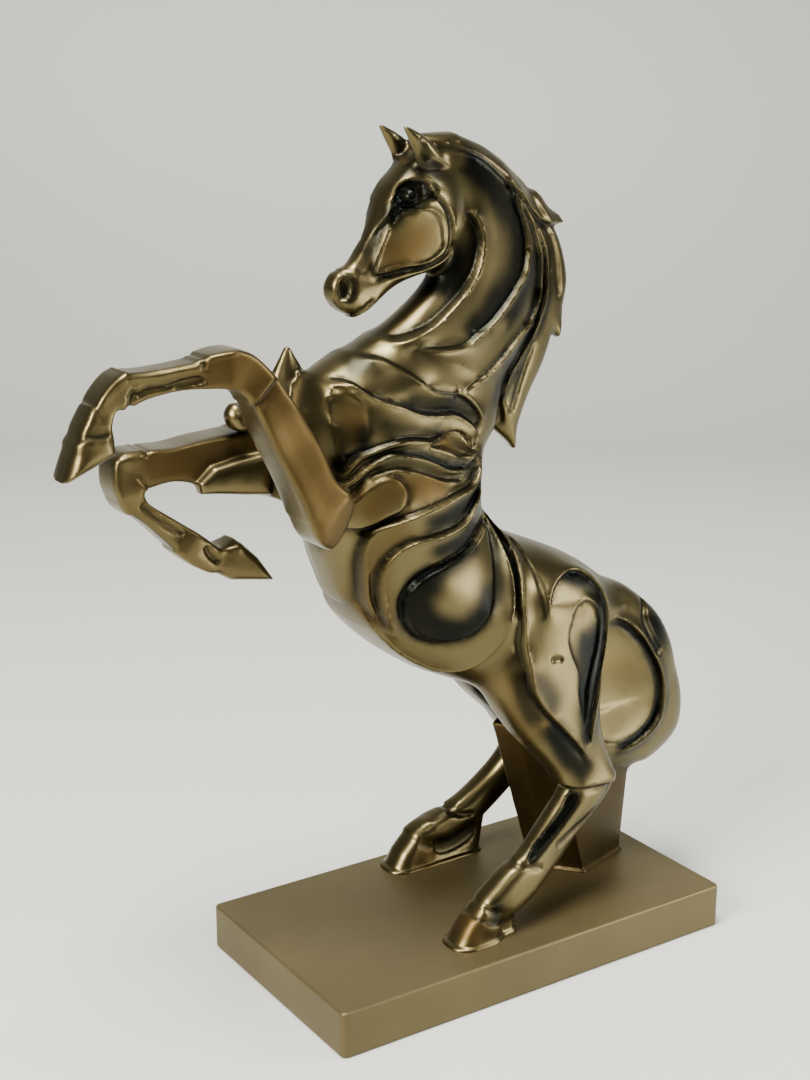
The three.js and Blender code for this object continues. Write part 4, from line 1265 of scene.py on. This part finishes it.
@dataclass
class Horse:
    """The casting: every limb, the mane, the tail and the post in one skin.

    The ground, which is the plinth's top, is a height in metres.
    """

    ground: float
    cell: float = CELL
    glue_radius: float = 1.5
    finish: PatinatedBronze = PatinatedBronze()

    # Each pair is where a change begins and where it is complete. The forelegs turn brown from a height
    # upwards and from a place in x towards the chest, and most on the faces that look sideways: the brown is
    # their own paint, and their tops and undersides kept paler gold are painted light and painted reflection
    BROWN = {Region.LEFT_FORE: 180.0, Region.RIGHT_FORE: 203.0}
    BROWN_RISE = 18.0
    BROWN_FROM = (-168.0, -145.0)
    BROWN_LEAST = 0.3
    BROWN_SIDES_LIT_TOPS = (0.3, 0.7)
    POST_BROWN = 0.8
    # Faces that look up, down or along the plinth have no airbrushing
    FLANK = (0.06, 0.32)
    BLACKEST = 0.96
    # How far out the skin opposite is felt for, which makes a hollow, and how far in, which makes a ridge
    HOLLOW_REACHES = (1.5, 3.0, 6.0)
    HOLLOW = (0.12, 0.6)
    RIDGE_REACH = 1.5
    RIDGE = (0.12, 0.5)
    RUBBED = 0.75
    PATINA_SPREAD = 3
    TONE_SPREAD = 6
    # What is lower isn't smoothed. Elsewhere it begins this far from a carved line, over so many square mm
    CALMED = (Region.BODY, Region.HEAD, Region.LEFT_HIND, Region.RIGHT_HIND)
    CALM_ABOVE = 66.0
    CALM_FROM = (1.5, 4.5)
    CALM_AREA = 30.0
    # How far inside the part's box the squeezing of the tips begins, in metres
    TIP = 16 * MM

    def forms(self) -> list[Form]:
        """The horse's masses.

        Returns:
            The forms, in the order in which they are blended.
        """
        return [
            Form(TRUNK, Region.BODY, power=2.3),
            Form(NECK, Region.BODY, blend=10),
            Form(HEAD, Region.HEAD, power=2.8, blend=5),
            Form(CREST, Region.MANE, blend=4),
            Form(LOCK, Region.MANE, blend=3),
            Form(LOWER_LOCK, Region.MANE, blend=3),
            Form(EAR, Region.PLAIN, power=2, blend=2),
            Form(mirrored(EAR), Region.PLAIN, power=2, blend=2),
            Form(LEFT_FORELEG, Region.LEFT_FORE, power=7, blend=5),
            Form(RIGHT_FORELEG, Region.RIGHT_FORE, power=7, blend=5),
            Form(FAR_SHOULDER, Region.PLAIN, power=2.5, blend=3, smooth=False),
            Form(FAR_KNOB, Region.PLAIN, blend=2),
            Form(FAR_ELBOW, Region.PLAIN, power=3, blend=2, smooth=False),
            Form(LEFT_FORE_HOOF, Region.LEFT_FORE, power=4, blend=2, smooth=False),
            Form(RIGHT_FORE_HOOF, Region.RIGHT_FORE, power=4, blend=2, smooth=False),
            Form(LEFT_HIND_LEG, Region.LEFT_HIND, power=2.8, blend=6),
            Form(RIGHT_HIND_LEG, Region.RIGHT_HIND, power=2.8, blend=6),
            Form(moved(HIND_HOOF, *LEFT_HOOF_AT), Region.LEFT_HIND, power=3, blend=2, smooth=False),
            Form(moved(HIND_HOOF, *RIGHT_HOOF_AT), Region.RIGHT_HIND, power=3, blend=2, smooth=False),
            Form(LEFT_WEB, Region.LEFT_HIND, power=3, blend=3, smooth=False),
            Form(RIGHT_WEB, Region.RIGHT_HIND, power=3, blend=3, smooth=False),
            Form(TAIL, Region.TAIL, power=3, blend=4),
        ]

    def cuts(self, region: Region) -> list[Cut]:
        """The carving that lies on a region.

        Args:
            region: the region. A hind leg has the body's carving too, which runs down on to it.

        Returns:
            Its cuts, in the order in which they are made.
        """
        if region in (Region.LEFT_HIND, Region.RIGHT_HIND):
            return CARVING[Region.BODY] + CARVING.get(region, [])
        return CARVING.get(region, [])

    def model(self) -> Clay:
        """Blends every form into a block of clay.

        Returns:
            The block, carved and cut off at the ground.
        """
        forms = self.forms()
        outlines = np.vstack([form.outline() for form in forms])
        sides = np.array([form.across() for form in forms])
        low = np.array([outlines[:, 0].min(), sides[:, 0].min(), BELOW_GROUND]) - MARGIN
        high = np.array([outlines[:, 0].max(), sides[:, 1].max(), outlines[:, 1].max()]) + MARGIN
        clay = Clay(low, high, self.cell)
        for form in forms:
            clay.add(form, self.cuts(form.region))
        clay.add_post(POST_FOOT, POST_HEAD, POST_HEIGHT, POST_BLEND)
        clay.add_glue(self.glue_radius)
        clay.cut_flat(SUNK)
        return clay

    def build(self) -> bpy.types.Object:
        """Makes the horse's skin, with its patina, painted shade and tone as attributes of its points.

        Returns:
            The horse.
        """
        clay = self.model()
        vertices, faces = clay.skin()
        slope = clay.slope(vertices)
        steep = np.maximum((slope**2).sum(1), LEAST_STEEP)
        vertices -= np.clip(clay.at(vertices) / steep, -0.5 * self.cell, 0.5 * self.cell)[:, None] * slope
        scaled = vertices * MM + np.array([0, 0, self.ground])
        horse = mesh_object("rearing_horse", scaled, faces)
        fewer = horse.modifiers.new("fewer triangles", "DECIMATE")
        fewer.ratio = min(1.0, MOST_TRIANGLES / (2 * len(faces)))
        seen = horse.evaluated_get(bpy.context.evaluated_depsgraph_get())
        final = bpy.data.meshes.new_from_object(seen)
        horse.modifiers.clear()
        horse.data = final
        self.colour(clay, final)
        self.calm(clay, final)
        horse.data.materials.append(self.finish.build())
        return horse

    def points(self, mesh: bpy.types.Mesh) -> np.ndarray:
        """The points of a mesh, in the drawing's millimetres.

        Args:
            mesh: the mesh, in metres.

        Returns:
            One point to a row.
        """
        places = np.empty(len(mesh.vertices) * 3, np.float32)
        mesh.vertices.foreach_get("co", places)
        return (places.reshape(-1, 3) - np.array([0, 0, self.ground])) / MM

    def calm(self, clay: Clay, mesh: bpy.types.Mesh) -> None:
        """Evens out the open swells between the carved lines, where the forms of the clay meet.

        Args:
            clay: the block that the skin came from.
            mesh: the skin.
        """
        points = self.points(mesh)
        owners = clay.regions(points)
        free = np.zeros(len(points))
        for region in self.CALMED:
            mine = (owners == region.value) & (points[:, 2] > self.CALM_ABOVE)
            free[mine] = 1
            x, z = points[mine, 0], points[mine, 2]
            for cut in self.cuts(region):
                if cut.kind not in (Mark.BRUSH, Mark.WASH):
                    free[mine] *= ramp(cut.near(x, z).away, *self.CALM_FROM)
        times = int(self.CALM_AREA / self.cell**2)
        for axis in range(3):
            points[:, axis] = self.softened(mesh, points[:, axis], times, free)
        scaled = self.fit(points * MM + np.array([0, 0, self.ground]))
        mesh.vertices.foreach_set("co", scaled.astype(np.float32).ravel())
        mesh.update()

    def fit(self, points: np.ndarray) -> np.ndarray:
        """Squeezes the tips that stand out of the part's box back to it, over their last few millimetres.

        Args:
            points: the skin's points in metres.

        Returns:
            The points, all of them in the box.
        """
        low, high = (np.array(corner) for corner in PART_BOX)
        for side, limit in ((-1, -low), (1, high)):
            start = limit - self.TIP
            reach = np.maximum((side * points).max(axis=0) - start, self.TIP)
            points = points - side * np.maximum(side * points - start, 0) * (1 - self.TIP / reach)
        return points

    def colour(self, clay: Clay, mesh: bpy.types.Mesh) -> None:
        """Works out how dark the patina and painted shade are and how brown the metal is at each point, and
        keeps both as attributes.

        Args:
            clay: the block that the skin came from.
            mesh: the skin.
        """
        count = len(mesh.vertices)
        points = self.points(mesh)
        normals = np.empty(count * 3, np.float32)
        mesh.vertices.foreach_get("normal", normals)
        outward = normals.reshape(-1, 3)
        hollow = np.zeros(count)
        for reach in self.HOLLOW_REACHES:
            hollow += np.clip(1 - clay.at(points + outward * reach) / reach, 0, 1) / len(self.HOLLOW_REACHES)
        ridge = np.clip(1 + clay.at(points - outward * self.RIDGE_REACH) / self.RIDGE_REACH, 0, 1)
        owners = clay.regions(points)
        bare = 1 - ramp(hollow, *self.HOLLOW)
        tone = np.zeros(count)
        polished = np.zeros(count)
        airbrushed_and_shaded = np.zeros(count)
        sprayed = self.BLACKEST * ramp(np.abs(outward[:, 1]), *self.FLANK)
        for region in Region:
            mine = owners == region.value
            x, z = points[mine, 0], points[mine, 2]
            for cut in self.cuts(region):
                if cut.kind is Mark.WASH:
                    tone[mine] = np.maximum(tone[mine], cut.shade(x, z))
                elif cut.kind is Mark.BRUSH:
                    # Dark strokes: airbrushed patina, and painted shade under the jaw and on the shoulder
                    airbrushed_and_shaded[mine] = np.maximum(airbrushed_and_shaded[mine], cut.shade(x, z) * sprayed[mine])
                else:
                    bare[mine] *= 1 - cut.shade(x, z) * sprayed[mine]
                    polished[mine] = np.maximum(polished[mine], cut.polish(x, z))
            if region in self.BROWN:
                above = self.BROWN[region]
                upper = ramp(x, *self.BROWN_FROM) * ramp(z, above, above + self.BROWN_RISE)
                share = self.BROWN_LEAST + (1 - self.BROWN_LEAST) * upper
                # Brown on the sideways faces only: the legs' own paint, with tops and undersides left paler
                # as painted light
                tone[mine] = share * ramp(np.abs(outward[mine, 1]), *self.BROWN_SIDES_LIT_TOPS)
            elif region is Region.POST:
                tone[mine] = self.POST_BROWN
        creased = (1 - bare) * (1 - self.RUBBED * np.maximum(ramp(ridge, *self.RIDGE), polished))
        patina_and_shade = 1 - (1 - creased) * (1 - airbrushed_and_shaded * (1 - self.RUBBED * polished))
        self.store(mesh, "patina_and_shade", self.softened(mesh, patina_and_shade, self.PATINA_SPREAD))
        self.store(mesh, "tone", self.softened(mesh, tone, self.TONE_SPREAD))

    @staticmethod
    def softened(
        mesh: bpy.types.Mesh, values: np.ndarray, times: int, share: np.ndarray | float = 1.0
    ) -> np.ndarray:
        """Spreads values a little among neighbouring points.

        Args:
            mesh: the mesh that they belong to.
            values: one for each point.
            times: how often each is averaged with its neighbours.
            share: how far each follows its neighbours, from 0 to 1.

        Returns:
            The spread values.
        """
        ends = np.empty(len(mesh.edges) * 2, np.int32)
        mesh.edges.foreach_get("vertices", ends)
        a, b = ends.reshape(-1, 2).T
        count = len(values)
        shares = np.bincount(a, minlength=count) + np.bincount(b, minlength=count)
        for _ in range(times):
            around = np.bincount(a, values[b], count) + np.bincount(b, values[a], count)
            values = values + share * (around / np.maximum(shares, 1) - values) / 2
        return values

    @staticmethod
    def store(mesh: bpy.types.Mesh, name: str, values: np.ndarray) -> None:
        """Keeps one value for each point of a mesh."""
        mesh.attributes.new(name, "FLOAT", "POINT").data.foreach_set("value", values.astype(np.float32))


@dataclass
class Plinth:
    """The rectangular slab that the horse stands on."""

    low: np.ndarray
    high: np.ndarray
    corner: float = 3.0 * MM
    bevel: float = 1.2 * MM
    corner_steps: int = 6
    bevel_steps: int = 4
    paint: PlinthPaint = PlinthPaint()

    def ring(self, height: float, inset: float) -> list[Place]:
        """The slab's outline at one height.

        Args:
            height: the height.
            inset: how far it is drawn in.

        Returns:
            Its points, once round.
        """
        middle = (self.low + self.high) / 2
        half = (self.high - self.low) / 2
        radius = self.corner
        points = []
        for quarter, (sx, sy) in enumerate(((1, 1), (-1, 1), (-1, -1), (1, -1))):
            for step in range(self.corner_steps + 1):
                angle = math.pi / 2 * (quarter + step / self.corner_steps)
                x = middle[0] + sx * (half[0] - radius) + (radius - inset) * math.cos(angle)
                y = middle[1] + sy * (half[1] - radius) + (radius - inset) * math.sin(angle)
                points.append((x, y, height))
        return points

    def build(self) -> bpy.types.Object:
        """Makes the slab with rounded corners and edges.

        Returns:
            The slab.
        """
        angles = [math.pi / 2 * step / self.bevel_steps for step in range(self.bevel_steps + 1)]
        rounds = [(self.bevel * (1 - math.sin(a)), self.bevel * (1 - math.cos(a))) for a in angles]
        rings = [self.ring(self.low[2] + rise, inset) for inset, rise in rounds]
        rings += [self.ring(self.high[2] - drop, inset) for drop, inset in rounds]
        around = len(rings[0])
        faces = []
        for i in range(len(rings) - 1):
            for j in range(around):
                k = (j + 1) % around
                faces.append((i * around + j, i * around + k, (i + 1) * around + k, (i + 1) * around + j))
        faces.append(tuple(range(around))[::-1])
        faces.append(tuple((len(rings) - 1) * around + j for j in range(around)))
        mesh = bpy.data.meshes.new("plinth")
        mesh.from_pydata([point for ring in rings for point in ring], [], faces)
        mesh.shade_smooth()
        made = put("plinth_slab", mesh)
        normals = made.modifiers.new("flat faces", "WEIGHTED_NORMAL")
        normals.keep_sharp = True
        made.data.materials.append(self.paint.build())
        return made


@dataclass(frozen=True)
class Lamp:
    """A soft square light: its place, what it faces, its side in metres, its watts and its colour."""

    name: str
    place: Place
    aim: Place
    size: float
    power: float
    tint: str = "ffffff"

    def hang(self) -> None:
        """Adds the light to the scene."""
        light = bpy.data.lights.new(self.name, "AREA")
        light.size = self.size
        light.energy = self.power
        light.color = linear(self.tint)[:3]
        made = put(self.name, light)
        made.location = self.place
        direction = Vector(self.aim) - Vector(self.place)
        made.rotation_euler = direction.to_track_quat("-Z", "Y").to_euler()


LAMPS: tuple[Lamp, ...] = (
    Lamp("window", (-1.4, -0.35, 1.0), (0, 0, 0.25), 0.65, 72, "fffaf2"),
    Lamp("ceiling", (-0.25, -0.12, 1.6), (0, 0, 0.2), 0.6, 66),
    Lamp("right window", (0.9, -0.75, 0.75), (0, 0, 0.2), 0.42, 12),
    Lamp("front fill", (-0.2, -1.3, 1.3), (0, 0, 0.15), 0.4, 3),
    Lamp("low card", (0.38, -0.46, 0.06), (0.08, -0.03, 0.13), 0.3, 3),
)


@dataclass
class Studio:
    """The floor with its backdrop, the lights and the camera."""

    # How far down the camera looks, and how far round from the horse's left flank towards its head it
    # stands, are in degrees
    camera_place: Place = (-0.4455, -0.6163, 0.4160)
    pitch: float = 15.642
    yaw: float = 33.458
    lens: float = 56.67
    half_width: float = 8.0
    backdrop_distance: float = 1.1
    cove_radius: float = 0.5
    cove_steps: int = 16
    floor_colours: tuple[str, str] = ("b0b1a9", "b7b8b0")
    floor_roughness: float = 0.55
    # Clouds in the floor's tone, one and a half to a metre
    floor_clouds: float = 1.5
    sky: str = "c8c8c4"
    sky_strength: float = 0.13

    def floor(self) -> None:
        """A plain pale floor, far larger than the view, that rises in a curve to a backdrop."""
        profile = [(-self.half_width, 0.0)]
        for step in range(self.cove_steps + 1):
            angle = math.pi / 2 * step / self.cove_steps
            out = self.backdrop_distance + self.cove_radius * math.sin(angle)
            profile.append((out, self.cove_radius * (1 - math.cos(angle))))
        profile.append((self.backdrop_distance + self.cove_radius, self.half_width))
        turn = math.radians(-self.yaw)
        along = np.array([math.cos(turn), math.sin(turn)])
        away = np.array([-along[1], along[0]])
        ends = (-self.half_width * along, self.half_width * along)
        places = [(*(end + out * away), up) for out, up in profile for end in ends]
        faces = [(2 * i, 2 * i + 1, 2 * i + 3, 2 * i + 2) for i in range(len(profile) - 1)]
        mesh = bpy.data.meshes.new("floor")
        mesh.from_pydata([tuple(map(float, place)) for place in places], [], faces)
        mesh.shade_smooth()
        made = put("floor", mesh)
        material, tree, output = new_material("pale matt floor")
        place = node(tree, "TexCoord").outputs["Object"]
        clouds = node(tree, "TexNoise", Vector=place, Scale=self.floor_clouds, Detail=3.0)
        first, second = (linear(colour) for colour in self.floor_colours)
        pale = node(tree, "Mix", {"data_type": "RGBA"}, i0=clouds.outputs["Fac"], i6=first, i7=second)
        shader = node(tree, "BsdfPrincipled", Base_Color=pale.outputs[2], Roughness=self.floor_roughness)
        tree.links.new(shader.outputs[0], output.inputs[0])
        made.data.materials.append(material)

    def build(self) -> None:
        """Sets up the floor, the lights, the sky and the camera."""
        self.floor()
        for lamp in LAMPS:
            lamp.hang()
        world = bpy.data.worlds.new("studio")
        bpy.context.scene.world = world
        world.use_nodes = True
        background = world.node_tree.nodes["Background"]
        background.inputs["Color"].default_value = linear(self.sky)
        background.inputs["Strength"].default_value = self.sky_strength
        lens = bpy.data.cameras.new("camera")
        lens.lens = self.lens
        camera = put("camera", lens)
        camera.location = self.camera_place
        camera.rotation_euler = (math.radians(90 - self.pitch), 0, math.radians(-self.yaw))
        bpy.context.scene.camera = camera


def main() -> None:
    """Builds the horse and its plinth around the frame."""
    logging.basicConfig(level=logging.INFO, format="%(name)s: %(message)s")
    low, high = (np.array(corner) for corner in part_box("plinth"))
    plinth = Plinth(low, high).build()
    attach(plinth, "root")
    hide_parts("plinth")
    LOG.info("plinth: %d faces", len(plinth.data.polygons))
    horse = Horse(ground=float(high[2]), cell=CELL).build()
    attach(horse, "root")
    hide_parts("horse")
    LOG.info("horse: %d triangles", sum(len(p.vertices) - 2 for p in horse.data.polygons))
    Studio().build()


if __name__ == "__main__":
    main()
